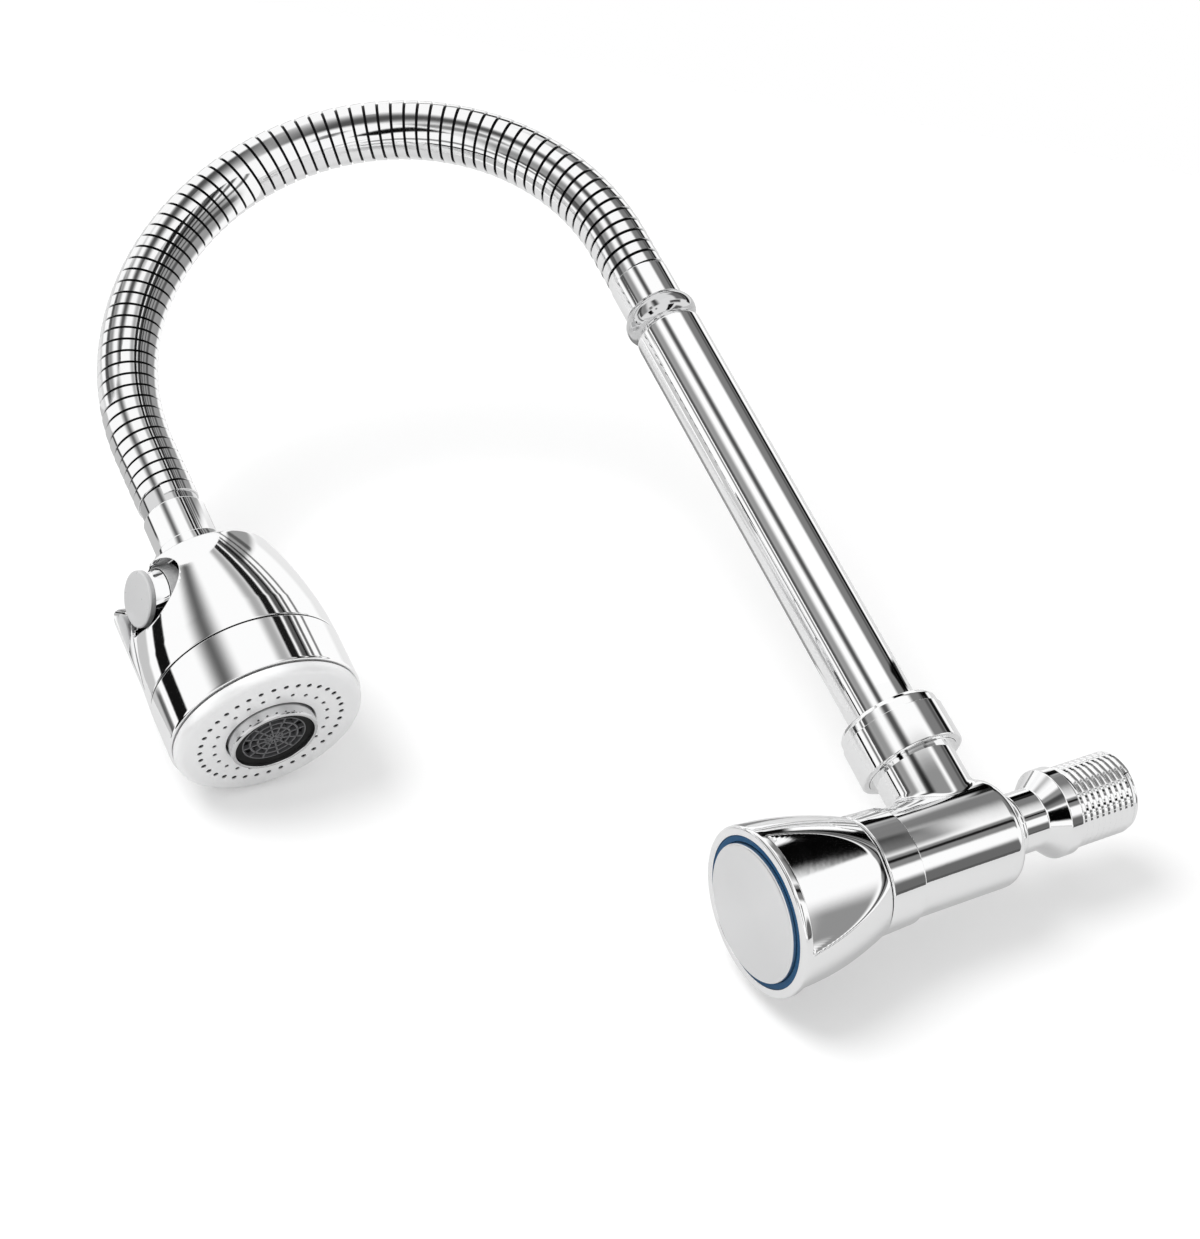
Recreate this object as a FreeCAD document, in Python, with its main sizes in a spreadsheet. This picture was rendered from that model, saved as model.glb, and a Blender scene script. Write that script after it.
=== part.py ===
import FreeCAD, Part
import math
import os
from types import SimpleNamespace
from FreeCAD import Placement, Rotation, Vector

# Wall-mounted cold tap with a swivelling riser, a flexible gooseneck and a spray head.
# Origin: centre of the flange's back face, where the inlet thread starts.  +Y runs into
# the wall along the thread, +Z is up and the knob faces -Y.

DIMENSIONS = dict(
    # inlet, measured back from the spout axis
    spout_reach=30.0, thread_radius=10.4775, thread_length=18.2, flange_radius=11.3,
    flange_width=3.6, cone_length=4.2, neck_radius=7.75, inlet_bore=6.2,
    bead_place=14.2, bead_radius=1.3,
    # barrel and outlet boss
    barrel_radius=13.7, barrel_tail=11.5, barrel_front=19.6, shoulder_radius=3.2,
    boss_radius=10.7, boss_height=22.6, spigot_radius=11.9, spigot_top=30.0,
    cavity_radius=10.3, cavity_depth=4.0, outlet_bore=6.0, tail_bore=8.6,
    tail_seat=13.0, boss_fillet=2.0,
    # spout nut
    nut_radius=14.7, nut_base=22.9, nut_top=37.0, nut_flat=13.5, nut_flat_top=33.0,
    nut_crown=12.6, nut_chamfer=2.6, nut_lip=33.0,
    # cartridge
    housing_radius=10.2, housing_front=27.0, hex_radius=10.9, hex_start=20.2, hex_end=25.0,
    disc_radius=7.1, disc_thickness=3.0, housing_bore=7.25, stem_bore=5.6, stem_bore_start=9.0,
    seal_thickness=1.4, seal_bore=6.2, disc_port=2.6,
    stem_radius=5.5, drive_radius=6.9, spindle_radius=4.0, spindle_front=44.0,
    stem_groove_back=8.2, stem_groove_step=6.0, stem_groove_width=2.0,
    clip_thickness=1.0, clip_radius=6.4, ring_section=1.1,
    # collar ring and knob, measured forward from the spout axis
    collar_front=29.5, collar_front_radius=15.2, collar_back_radius=14.35, collar_bore=11.4,
    knob_back=29.8, knob_back_radius=15.0, knob_front=58.6, knob_rim_radius=20.9,
    knob_curve=95.0, rim_width=2.0, rim_fillet=0.9, scoop_radius=24.0, scoop_depth=10.4,
    scoop_rise=4.9, scoop_overrun=8.0, scoop_turn=-14.0, face_recess=19.1, recess_depth=3.0,
    screw_pocket=4.6, screw_seat=46.2, screw_radius=2.0, screw_head=3.8, screw_head_height=2.6,
    screw_length=10.0, ring_inner=17.0, ring_front=58.4, disc_front=59.6, cap_radius=16.9,
    cap_fillet=0.5,
    # riser tube and its tail
    riser_radius=9.15, riser_bore=8.0, riser_base=32.6, hose_rise=28.2, riser_edge=1.0,
    tail_base=14.5, tail_flange=10.9, tail_flange_height=1.8, tail_inner=5.4, tail_plug=45.0,
    tail_groove=1.6, tail_groove_start=3.5, tail_groove_step=5.5, tail_groove_width=1.8,
    ferrule_waist=8.2, ferrule_height=5.6, sleeve_radius=8.3,
    sleeve_height=10.0, nipple_radius=6.0, nipple_bore=4.5, nipple_depth=14.0,
    # gooseneck hose
    spout_swing=21.0, arch_radius=69.5, arch_height=191.2, hose_end_drop=22.0, end_lean=5.4,
    hose_crest=8.15, hose_groove=7.6, hose_bore=7.15, rib_pitch=3.6, link_gap=2.4,
    ball_radius=6.85, ball_reach=4.2, tube_radius=6.3, tube_bore=4.5, tube_start=5.8,
    hose_links=8,
    # spray head, measured up from the face; its upper sizes are given from the button
    head_turn=34.8, face_radius=24.5, face_thickness=3.0, face_fillet=1.9,
    face_spigot=23.2, spigot_height=3.0, spigot_wall=2.4, aerator_hole=11.8,
    nozzle_radius=0.55, outer_ring_radius=18.6, outer_nozzles=36, inner_ring_radius=14.9,
    inner_nozzles=24,
    shell_radius=25.2, shell_wall=1.7, seam_height=17.0, seam_gap=0.4,
    waist_radius=24.9, waist_height=23.5, waist_curve=110.0, shoulder_radius_top=19.2,
    shoulder_drop=4.75, shoulder_round=1.6, crown_radius=10.4, crown_thickness=2.2,
    crown_hole=8.5,
    collar_height=4.2, collar_top_radius=9.8, neck_tube=8.4, neck_rise=16.4,
    neck_flange=9.7, neck_flange_height=1.5, neck_bore=4.6,
    core_radius=11.2, core_rise=6.4, manifold_base=7.2, manifold_height=4.0,
    manifold_radius=23.2, core_tube=9.9, core_tube_base=3.4, core_bore=6.0, core_inlet=4.4,
    gasket_height=1.0, gasket_inner=20.6,
    aerator_radius=11.4, aerator_front=3.0, aerator_back=7.0, aerator_lip=8.7,
    aerator_lip_thickness=0.8, mesh_thickness=1.6, mesh_ring=0.55, washer_height=1.6,
    # diverter button
    button_height=44.2, button_face=20.6, cap_button_radius=7.3, button_cap_thickness=1.8,
    hub_radius=6.6, hub_back=14.9, button_travel=2.5,
    pocket_radius=8.9, pocket_side=0.7, pocket_drop=1.3, pocket_slide=5.7, pocket_fall=2.3,
    pocket_back=1.0, tool_reach=5.0,
    spool_radius=4.1, spool_bore=4.2, spool_back=8.5, spool_ring=0.55, spool_ring_width=1.4,
    spool_ring_back=5.6, spool_ring_front=6.2,
    hood_front=25.0, hood_width=2.5, hood_below=14.2, hood_above=3.8, hood_offset=10.8,
    hood_root=8.0, hood_round=3.0,
    lower_ferrule_radius=8.75, lower_ferrule_height=3.6, plug_radius=4.4, plug_bore=3.0,
    plug_depth=8.0, plug_reach=5.5,
    clearance=0.1,
)

doc = FreeCAD.newDocument("gooseneck_tap")
sheet = doc.addObject("Spreadsheet::Sheet", "Dims")


class Size:
    """A number with the sheet expression that gives it."""

    def __init__(self, value, text):
        self.value, self.text = float(value), text

    def __float__(self):
        return self.value

    def combine(self, other, sign, value, swap=False):
        mine, theirs = self.text, getattr(other, "text", repr(other))
        left, right = (theirs, mine) if swap else (mine, theirs)
        return Size(value, "(%s %s %s)" % (left, sign, right))

    def __add__(self, other):
        return self.combine(other, "+", self.value + float(other))

    def __radd__(self, other):
        return self.combine(other, "+", float(other) + self.value, True)

    def __sub__(self, other):
        return self.combine(other, "-", self.value - float(other))

    def __rsub__(self, other):
        return self.combine(other, "-", float(other) - self.value, True)

    def __mul__(self, other):
        return self.combine(other, "*", self.value * float(other))

    def __rmul__(self, other):
        return self.combine(other, "*", float(other) * self.value, True)

    def __truediv__(self, other):
        return self.combine(other, "/", self.value / float(other))


def fill_sheet():
    for row, (alias, value) in enumerate(DIMENSIONS.items(), 1):
        sheet.set("A%d" % row, alias)
        sheet.set("B%d" % row, str(value))
        sheet.setAlias("B%d" % row, alias)
    doc.recompute()
    return SimpleNamespace(**{alias: Size(sheet.get(alias), "Dims." + alias)
                              for alias in DIMENSIONS})


D = fill_sheet()
ZERO = Size(0, "0")


def size(value):
    return value if isinstance(value, Size) else Size(value, repr(value))


def bind(obj, path, value):
    obj.setExpression(path, size(value).text)


# turned pieces of the valve run along local +Z, which points from the wall to the knob
VALVE = Placement(Vector(0, -float(D.spout_reach), 0), Rotation(Vector(1, 0, 0), 90))
# the spout is modelled with its arch in the YZ plane and then swung about the riser
SPOUT = Placement(Vector(0, -float(D.spout_reach), 0),
                  Rotation(Vector(0, 0, 1), -float(D.spout_swing)))
RISER_TOP = D.arch_height - D.hose_rise
# the hose's last piece leans sideways out of the arch's plane on a wide curve
LEAN = math.radians(float(D.end_lean))
LEAN_RADIUS = float(D.hose_end_drop) / LEAN
LEAN_CENTRE = Vector(LEAN_RADIUS, -2 * float(D.arch_radius), float(D.arch_height))
LEAN_AXIS = Vector(0, -1, 0)
HOSE_TIP = LEAN_CENTRE + Vector(-LEAN_RADIUS * math.cos(LEAN), 0, -LEAN_RADIUS * math.sin(LEAN))
# heights in the head that follow the button
CORE_TOP = D.button_height + D.core_rise
CROWN_HEIGHT = CORE_TOP + D.neck_flange_height + D.crown_thickness + D.clearance
NECK_TOP = CROWN_HEIGHT + D.neck_rise
TIP = SPOUT.multiply(Placement(HOSE_TIP, Rotation(LEAN_AXIS, float(D.end_lean)))).multiply(
    Placement(Vector(0, 0, -float(NECK_TOP) - 0.3), Rotation()))
HEAD = TIP.multiply(Placement(Vector(), Rotation(Vector(0, 0, 1), float(D.head_turn))))
nodes = []


def finish(obj, label, frame):
    obj.Label = label
    obj.Placement = frame
    nodes.append(obj)
    return obj


def arc_between(start, end, radius, side):
    """Circle arc from start to end, bulging to the right of that way if side is 1."""
    chord = end - start
    half = chord.Length / 2
    normal = Vector(chord.y, -chord.x, 0).normalize() * side
    centre = (start + end) / 2 - normal * math.sqrt(max(radius ** 2 - half ** 2, 0))
    a = math.atan2(start.y - centre.y, start.x - centre.x)
    b = math.atan2(end.y - centre.y, end.x - centre.x)
    turned = (b - a) % (2 * math.pi) > math.pi
    circle = Part.Circle(centre, Vector(0, 0, 1), radius)
    return Part.ArcOfCircle(circle, b, a) if turned else Part.ArcOfCircle(circle, a, b), turned


def plane_of(body, role):
    return next(f for f in body.Origin.OriginFeatures if f.Role == role)


def new_sketch(body, name, role="XY_Plane", offset=None):
    sketch = body.newObject("Sketcher::SketchObject", name)
    sketch.AttachmentSupport = [(plane_of(body, role), "")]
    sketch.MapMode = "FlatFace"
    if offset is not None:
        sketch.AttachmentOffset.Base.z = float(offset)
        bind(sketch, "AttachmentOffset.Base.z", offset)
    return sketch


def draw_outline(sketch, outline):
    """Closed outline of (across, up) corners; a corner with a curve radius and a side
    ends an arc instead of a line."""
    from Sketcher import Constraint
    count = len(outline)
    points = [Vector(float(size(c[0])), float(size(c[1])), 0) for c in outline]
    ends = []
    for i, corner in enumerate(outline):
        start, end = points[i - 1], points[i]
        if len(corner) == 2:
            index = sketch.addGeometry(Part.LineSegment(start, end), False)
            ends.append((index, 1, 2))
            continue
        arc, turned = arc_between(start, end, float(corner[2]), corner[3])
        index = sketch.addGeometry(arc, False)
        ends.append((index, 2, 1) if turned else (index, 1, 2))
        radius = sketch.addConstraint(Constraint("Radius", index, float(corner[2])))
        sketch.setExpression("Constraints[%d]" % radius, size(corner[2]).text)
    for i in range(count):
        here, after = ends[i], ends[(i + 1) % count]
        sketch.addConstraint(Constraint("Coincident", here[0], here[2], after[0], after[1]))
        across, up = size(outline[i][0]), size(outline[i][1])
        for value, kind, axis in ((across, "DistanceX", -2), (up, "DistanceY", -1)):
            if value is ZERO:
                sketch.addConstraint(Constraint("PointOnObject", here[0], here[2], axis))
                continue
            low = value.value < 0
            first, second = ((here[0], here[2]), (-1, 1)) if low else ((-1, 1), (here[0], here[2]))
            k = sketch.addConstraint(Constraint(kind, *first, *second, abs(value.value)))
            sketch.setExpression("Constraints[%d]" % k, ("-" if low else "") + value.text)


def turned(name, outline, frame=None, fillets=()):
    """Body of revolution about local Z from (radius, height) corners; fillets are
    (radius, height, fillet) at round edges."""
    body = doc.addObject("PartDesign::Body", name)
    sketch = new_sketch(body, name + "_profile", "XZ_Plane")
    draw_outline(sketch, outline)
    turn = body.newObject("PartDesign::Revolution", name + "_turn")
    turn.Profile = sketch
    turn.ReferenceAxis = (sketch, ["V_Axis"])
    turn.Angle = 360
    doc.recompute()
    for k, (radius, height, fillet) in enumerate(fillets):
        base = body.Tip
        edges = [("Edge%d" % (i + 1)) for i, e in enumerate(base.Shape.Edges)
                 if hasattr(e.Curve, "Radius") and len(e.Vertexes) == 1
                 and abs(e.Curve.Radius - float(radius)) < 1e-4
                 and abs(e.Curve.Center.z - float(height)) < 1e-4]
        feature = body.newObject("PartDesign::Fillet", "%s_edge%d" % (name, k))
        feature.Base = (base, edges)
        feature.Radius = float(size(fillet))
        bind(feature, "Radius", fillet)
        body.Tip = feature
        doc.recompute()
    return finish(body, name, frame) if frame is not None else body


def ring(name, inner, outer, base, top, frame, **extra):
    return turned(name, [(inner, base), (outer, base), (outer, top), (inner, top)], frame, **extra)


def rod(name, radius, base, top, turn=None):
    obj = doc.addObject("Part::Cylinder", name)
    bind(obj, "Radius", radius)
    bind(obj, "Height", size(top) - base)
    if turn is not None:
        obj.Placement = Placement(Vector(), turn)
        axis = turn.multVec(Vector(0, 0, 1))
        for letter, part in zip("xyz", axis):
            if abs(part) > 0.5:
                bind(obj, "Placement.Base." + letter, size(base) * round(part))
    else:
        bind(obj, "Placement.Base.z", base)
    return obj


def torus(name, major, minor, height):
    obj = doc.addObject("Part::Torus", name)
    bind(obj, "Radius1", major)
    bind(obj, "Radius2", minor)
    bind(obj, "Placement.Base.z", height)
    return obj


def brick(name, x, y, z, across, deep, high):
    obj = doc.addObject("Part::Box", name)
    for prop, value in (("Length", across), ("Width", deep), ("Height", high),
                        ("Placement.Base.x", x), ("Placement.Base.y", y),
                        ("Placement.Base.z", z)):
        bind(obj, prop, value)
    return obj


def fuse(name, *parts):
    obj = doc.addObject("Part::MultiFuse", name)
    obj.Shapes = list(parts)
    return obj


def cut(name, base, *tools):
    obj = doc.addObject("Part::Cut", name)
    obj.Base = base
    obj.Tool = tools[0] if len(tools) == 1 else fuse(name + "_tools", *tools)
    return obj


UPWARD = Rotation(Vector(1, 0, 0), -90)     # local +Z to +Y, which is up in the valve frame
FRONTWARD = Rotation(Vector(1, 0, 0), 90)   # local +Z to -Y


def valve_body():
    cone_start = D.spout_reach - D.flange_width
    thread_end = D.spout_reach + D.thread_length
    shape = turned("valve_shell", [
        (ZERO, -1 * thread_end), (D.thread_radius, -1 * thread_end),
        (D.thread_radius, -1 * D.spout_reach), (D.flange_radius, -1 * D.spout_reach),
        (D.flange_radius, -1 * cone_start),
        (D.neck_radius, D.cone_length - cone_start),
        (D.neck_radius, -1 * D.barrel_tail),
        (D.barrel_radius - D.shoulder_radius, -1 * D.barrel_tail),
        (D.barrel_radius, D.shoulder_radius - D.barrel_tail, D.shoulder_radius, 1),
        (D.barrel_radius, D.barrel_front), (ZERO, D.barrel_front)])
    bead = torus("inlet_bead", D.neck_radius - 0.4, D.bead_radius, -1 * D.bead_place)
    boss = rod("outlet_boss", D.boss_radius, ZERO, D.boss_height, UPWARD)
    blend = fuse("barrel_and_boss", shape, boss)
    doc.recompute()
    fillet = doc.addObject("Part::Fillet", "boss_root")
    fillet.Base = blend
    fillet.Edges = [(i + 1, float(D.boss_fillet), float(D.boss_fillet))
                    for i, e in enumerate(blend.Shape.Edges) if is_boss_root(e)]
    spigot = rod("nut_spigot", D.spigot_radius, D.boss_height, D.spigot_top, UPWARD)
    solid = fuse("valve_solid", fillet, bead, spigot)
    body = cut("valve_body_shape", solid,
               rod("cartridge_cavity", D.cavity_radius, -1 * D.cavity_depth, D.barrel_front + 1),
               rod("inlet_way", D.inlet_bore, -1 * (thread_end + 1), ZERO),
               rod("outlet_way", D.outlet_bore, ZERO, D.spigot_top, UPWARD),
               rod("tail_way", D.tail_bore, D.tail_seat, D.spigot_top + 1, UPWARD))
    return finish(body, "valve_body", VALVE)


def is_boss_root(edge):
    """The saddle curve where the outlet boss meets the barrel."""
    points = edge.discretize(9)
    on_boss = all(abs(math.hypot(p.x, p.z) - float(D.boss_radius)) < 0.01 for p in points)
    on_barrel = all(abs(math.hypot(p.x, p.y) - float(D.barrel_radius)) < 0.01 for p in points)
    return on_boss and on_barrel


def spout_nut():
    blank = turned("nut_blank", [
        (D.spigot_radius + D.clearance, D.nut_base), (D.nut_radius, D.nut_base),
        (D.nut_radius, D.nut_top - D.nut_chamfer), (D.nut_crown, D.nut_top),
        (D.riser_radius + D.clearance, D.nut_top), (D.riser_radius + D.clearance, D.nut_lip),
        (D.spigot_radius + D.clearance, D.nut_lip)])
    hexagon = doc.addObject("Part::Prism", "nut_hexagon")
    hexagon.Polygon = 6
    bind(hexagon, "Circumradius", D.nut_flat / math.cos(math.pi / 6))
    bind(hexagon, "Height", D.nut_flat_top - D.nut_base)
    bind(hexagon, "Placement.Base.z", D.nut_base)
    band = rod("nut_band", D.nut_radius + 1, D.nut_base, D.nut_flat_top)
    waste = cut("nut_waste", band, hexagon)
    return finish(cut("spout_nut_shape", blank, waste), "spout_nut", SPOUT)


def collar_ring():
    return turned("collar_ring", [
        (D.collar_bore, D.barrel_front), (D.collar_back_radius, D.barrel_front),
        (D.collar_front_radius, D.collar_front), (D.collar_bore, D.collar_front)], VALVE,
        fillets=[(D.collar_back_radius, D.barrel_front, 0.4),
                 (D.collar_front_radius, D.collar_front, 0.4)])


def cartridge_housing():
    seat = D.seal_thickness - D.cavity_depth
    tube = turned("housing_tube", [
        (D.housing_bore, seat), (D.housing_radius, seat), (D.housing_radius, D.hex_end),
        (D.stem_bore + 1.6, D.hex_end), (D.stem_bore + 1.6, D.housing_front),
        (D.stem_bore, D.housing_front), (D.stem_bore, D.stem_bore_start),
        (D.housing_bore, D.stem_bore_start)])
    hexagon = doc.addObject("Part::Prism", "housing_hexagon")
    hexagon.Polygon = 6
    bind(hexagon, "Circumradius", D.hex_radius)
    bind(hexagon, "Height", D.hex_end - D.hex_start)
    bind(hexagon, "Placement.Base.z", D.hex_start)
    middle = rod("hexagon_bore", D.stem_bore + 1, D.hex_start - 1, D.hex_end + 1)
    window = rod("outlet_window", D.outlet_bore - 1, ZERO, D.housing_radius + 1, UPWARD)
    bind(window, "Placement.Base.z", D.disc_thickness)
    shape = cut("cartridge_housing_shape", fuse("housing_solid", tube,
                                                cut("hexagon_ring", hexagon, middle)), window)
    return finish(shape, "cartridge_housing", VALVE)


def half_port_disc(name, base, turn):
    """Ceramic disc with a half-round water port."""
    disc = rod(name + "_blank", D.disc_radius, base, base + D.disc_thickness)
    port = rod(name + "_port", D.disc_port, base - 1, base + D.disc_thickness + 1)
    port.Placement.Base.x = float(D.disc_port + 0.8) * turn
    bind(port, "Placement.Base.x", (D.disc_port + 0.8) * turn)
    return finish(cut(name + "_shape", disc, port), name, VALVE)


def cartridge():
    seat = D.seal_thickness - D.cavity_depth
    ring("cartridge_seal", D.seal_bore, D.housing_radius - 0.2, -1 * D.cavity_depth,
         seat - 0.02, VALVE)
    half_port_disc("fixed_ceramic_disc", seat, 1)
    half_port_disc("moving_ceramic_disc", seat + D.disc_thickness + 0.02, -1)


def spindle():
    drive_start = D.seal_thickness - D.cavity_depth + D.disc_thickness * 2 + 0.04
    stem_start = D.stem_bore_start - 0.3
    grooves = [D.hex_start - D.stem_groove_back,
               D.hex_start - D.stem_groove_back + D.stem_groove_step]
    outline = [(ZERO, drive_start), (D.drive_radius, drive_start), (D.drive_radius, stem_start),
               (D.stem_radius, stem_start)]
    for place in grooves:
        outline += [(D.stem_radius, place), (D.stem_radius - D.ring_section, place),
                    (D.stem_radius - D.ring_section, place + D.stem_groove_width),
                    (D.stem_radius, place + D.stem_groove_width)]
    outline += [(D.stem_radius, D.housing_front + 0.1), (D.spindle_radius, D.housing_front + 0.1),
                (D.spindle_radius, D.spindle_front), (ZERO, D.spindle_front)]
    stem = turned("spindle_turned", outline)
    thread = rod("spindle_thread", D.screw_radius, D.screw_seat - D.screw_length - 0.5,
                 D.spindle_front + 1)
    finish(cut("spindle_shape", stem, thread), "spindle", VALVE)
    rings = [torus("stem_ring%d" % k, D.stem_radius - D.ring_section / 2,
                   D.ring_section / 2, place + D.stem_groove_width / 2)
             for k, place in enumerate(grooves)]
    finish(fuse("spindle_rings_shape", *rings), "spindle_o_rings", VALVE)
    clip_base = D.housing_front + 0.15
    washer = doc.addObject("Part::Cut", "spindle_circlip_shape")
    washer.Base = rod("clip_blank", D.clip_radius, clip_base, clip_base + D.clip_thickness)
    gap = brick("clip_gap", -0.9, ZERO, clip_base - 1, 1.8, D.clip_radius + 1, 3)
    washer.Tool = fuse("clip_tools", rod("clip_bore", D.spindle_radius, clip_base - 1,
                                         clip_base + 2), gap)
    finish(washer, "spindle_circlip", VALVE)


def knob():
    recess_floor = D.knob_front - D.recess_depth
    blank = turned("knob_blank", [
        (D.spindle_radius, D.knob_back), (D.knob_back_radius, D.knob_back),
        (D.knob_rim_radius, D.knob_front - D.rim_width, D.knob_curve, 1),
        (D.knob_rim_radius, D.knob_front), (D.face_recess, D.knob_front),
        (D.face_recess, recess_floor), (D.screw_pocket, recess_floor),
        (D.screw_pocket, D.screw_seat), (D.screw_radius + 0.3, D.screw_seat),
        (D.screw_radius + 0.3, D.spindle_front), (D.spindle_radius, D.spindle_front)],
        fillets=[(D.knob_rim_radius, D.knob_front, D.rim_fillet)])
    scoops = [scoop(k) for k in range(3)]
    return finish(cut("knob_shape", blank, *scoops), "knob", VALVE)


def scoop(k):
    """Thumb scoop: a tilted cylinder that bites deepest just behind the rim and stops
    there, so that the rim stays a full ring."""
    front = D.knob_front - D.rim_width - 0.4
    run = float(front - D.knob_back)
    lean = math.degrees(math.atan2(float(D.scoop_rise), run))
    tool = doc.addObject("Part::Cylinder", "scoop%d_round" % k)
    bind(tool, "Radius", D.scoop_radius)
    bind(tool, "Height", D.knob_front)
    turn = Rotation(Vector(0, 0, 1), float(D.scoop_turn) + 120 * k)
    tilt = Rotation(Vector(0, 1, 0), -lean)
    reach = float(D.scoop_radius + D.scoop_depth)
    tip = Vector(reach, 0, float(front))
    down = tilt.multVec(Vector(0, 0, -float(D.knob_front)))
    over = tilt.multVec(Vector(0, 0, float(D.scoop_overrun)))
    tool.Placement = Placement(turn.multVec(tip + down + over), turn.multiply(tilt))
    keep = rod("scoop%d_reach" % k, D.knob_rim_radius + D.scoop_radius * 2, D.knob_back - 1, front)
    common = doc.addObject("Part::Common", "scoop%d" % k)
    common.Base, common.Tool = tool, keep
    return common


def knob_front_pieces():
    floor = D.knob_front - D.recess_depth
    ring("cold_ring", D.ring_inner + 0.05, D.face_recess - 0.05, floor, D.ring_front, VALVE,
         fillets=[(D.face_recess - 0.05, D.ring_front, 0.25)])
    turned("index_cap", [(ZERO, floor), (D.cap_radius, floor), (D.cap_radius, D.disc_front),
                         (ZERO, D.disc_front)], VALVE,
           fillets=[(D.cap_radius, D.disc_front, D.cap_fillet)])
    shank_end = D.screw_seat - D.screw_length
    screw = turned("screw_blank", [
        (ZERO, shank_end), (D.screw_radius, shank_end), (D.screw_radius, D.screw_seat),
        (D.screw_head, D.screw_seat), (D.screw_head, D.screw_seat + D.screw_head_height),
        (ZERO, D.screw_seat + D.screw_head_height)])
    slot = brick("screw_slot", -1 * D.screw_head, -0.45, D.screw_seat + D.screw_head_height - 1.1,
                 D.screw_head * 2, 0.9, 2)
    finish(cut("knob_screw_shape", screw, slot), "knob_screw", VALVE)


def riser():
    grooves = [D.tail_base + D.tail_groove_start,
               D.tail_base + D.tail_groove_start + D.tail_groove_step]
    turned("riser_tube", [
        (D.riser_bore, D.riser_base), (D.riser_radius, D.riser_base),
        (D.riser_radius, RISER_TOP - D.riser_edge),
        (D.riser_radius - D.riser_edge, RISER_TOP, D.riser_edge, 1),
        (D.nipple_radius + 0.05, RISER_TOP),
        (D.nipple_radius + 0.05, RISER_TOP - D.riser_edge * 2),
        (D.riser_bore, RISER_TOP - D.riser_edge * 2)], SPOUT)
    flange = D.riser_base - D.tail_flange_height
    tail = [(D.tail_inner, D.tail_base), (D.tail_bore - 0.05, D.tail_base)]
    for place in grooves:
        tail += [(D.tail_bore - 0.05, place), (D.tail_bore - D.tail_groove, place),
                 (D.tail_bore - D.tail_groove, place + D.tail_groove_width),
                 (D.tail_bore - 0.05, place + D.tail_groove_width)]
    tail += [(D.tail_bore - 0.05, flange), (D.tail_flange, flange), (D.tail_flange, D.riser_base),
             (D.riser_bore - 0.05, D.riser_base), (D.riser_bore - 0.05, D.tail_plug),
             (D.tail_inner, D.tail_plug)]
    turned("riser_tail", tail, SPOUT)
    section = D.tail_groove / 2 - 0.05
    rings = [torus("tail_ring%d" % k, D.tail_bore - 0.05 - section, section,
                   place + D.tail_groove_width / 2) for k, place in enumerate(grooves)]
    finish(fuse("tail_rings_shape", *rings), "tail_o_rings", SPOUT)
    slip_base = D.riser_base + 0.02
    split = cut("slip_ring_shape",
                rod("slip_blank", D.spigot_radius - 0.3, slip_base, D.nut_lip - 0.05),
                rod("slip_bore", D.riser_radius + 0.05, slip_base - 1, D.nut_lip + 1),
                brick("slip_gap", -0.7, ZERO, slip_base - 1, 1.4, D.spigot_radius, 3))
    finish(split, "nut_slip_ring", SPOUT)
    upper_ferrule()


def upper_ferrule():
    base, bead = RISER_TOP + 0.02, D.ferrule_height / 4
    turned("upper_ferrule", [
        (D.hose_bore - 1.0, base), (D.ferrule_waist, base),
        (D.ferrule_waist, base + bead * 2, bead * 1.15, 1),
        (D.ferrule_waist, base + bead * 4, bead * 1.15, 1),
        (D.hose_bore - 1.0, base + bead * 4)], SPOUT)
    sleeve_base = base + bead * 4 + 0.02
    ring("hose_sleeve", D.hose_bore, D.sleeve_radius, sleeve_base, sleeve_base + D.sleeve_height,
         SPOUT, fillets=[(D.sleeve_radius, sleeve_base + D.sleeve_height, 0.3)])
    ring("hose_nipple", D.nipple_bore, D.nipple_radius, RISER_TOP - D.nipple_depth,
         sleeve_base + D.sleeve_height - 1, SPOUT)


ARCH = math.pi * float(D.arch_radius)
CENTRE = Vector(0, -float(D.arch_radius), float(D.arch_height))
SIDEWAYS = Vector(1, 0, 0)
HOSE_START = float(RISER_TOP + D.ferrule_height + D.sleeve_height) + 0.1


def along(shape, run):
    """Moves a shape made round the riser's axis at arch height to a run along the hose."""
    if run < 0:
        shape.translate(Vector(0, 0, run))
    elif run <= ARCH:
        shape.rotate(CENTRE, SIDEWAYS, math.degrees(run / float(D.arch_radius)))
    else:
        shape.rotate(CENTRE, SIDEWAYS, 180)
        shape.rotate(LEAN_CENTRE, LEAN_AXIS, math.degrees((run - ARCH) / LEAN_RADIUS))
    return shape


def hoop(radius, run):
    circle = Part.makeCircle(float(radius), Vector(0, 0, float(D.arch_height)))
    return along(Part.Wire([circle]), run)


def bent_rod(radius, start, end):
    """Plain round bar that follows the hose's line from one run to another."""
    solids = []
    for low, high in ((start, min(end, 0)), (max(start, 0), min(end, ARCH)), (max(start, ARCH), end)):
        if high - low < 1e-6:
            continue
        face = Part.Face(hoop(radius, low))
        if high <= 0:
            solids.append(face.extrude(Vector(0, 0, high - low)))
        elif low >= ARCH:
            solids.append(face.revolve(LEAN_CENTRE, LEAN_AXIS,
                                       math.degrees((high - low) / LEAN_RADIUS)))
        else:
            solids.append(face.revolve(CENTRE, SIDEWAYS,
                                       math.degrees((high - low) / float(D.arch_radius))))
    return solids[0] if len(solids) == 1 else solids[0].multiFuse(solids[1:]).removeSplitter()


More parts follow.
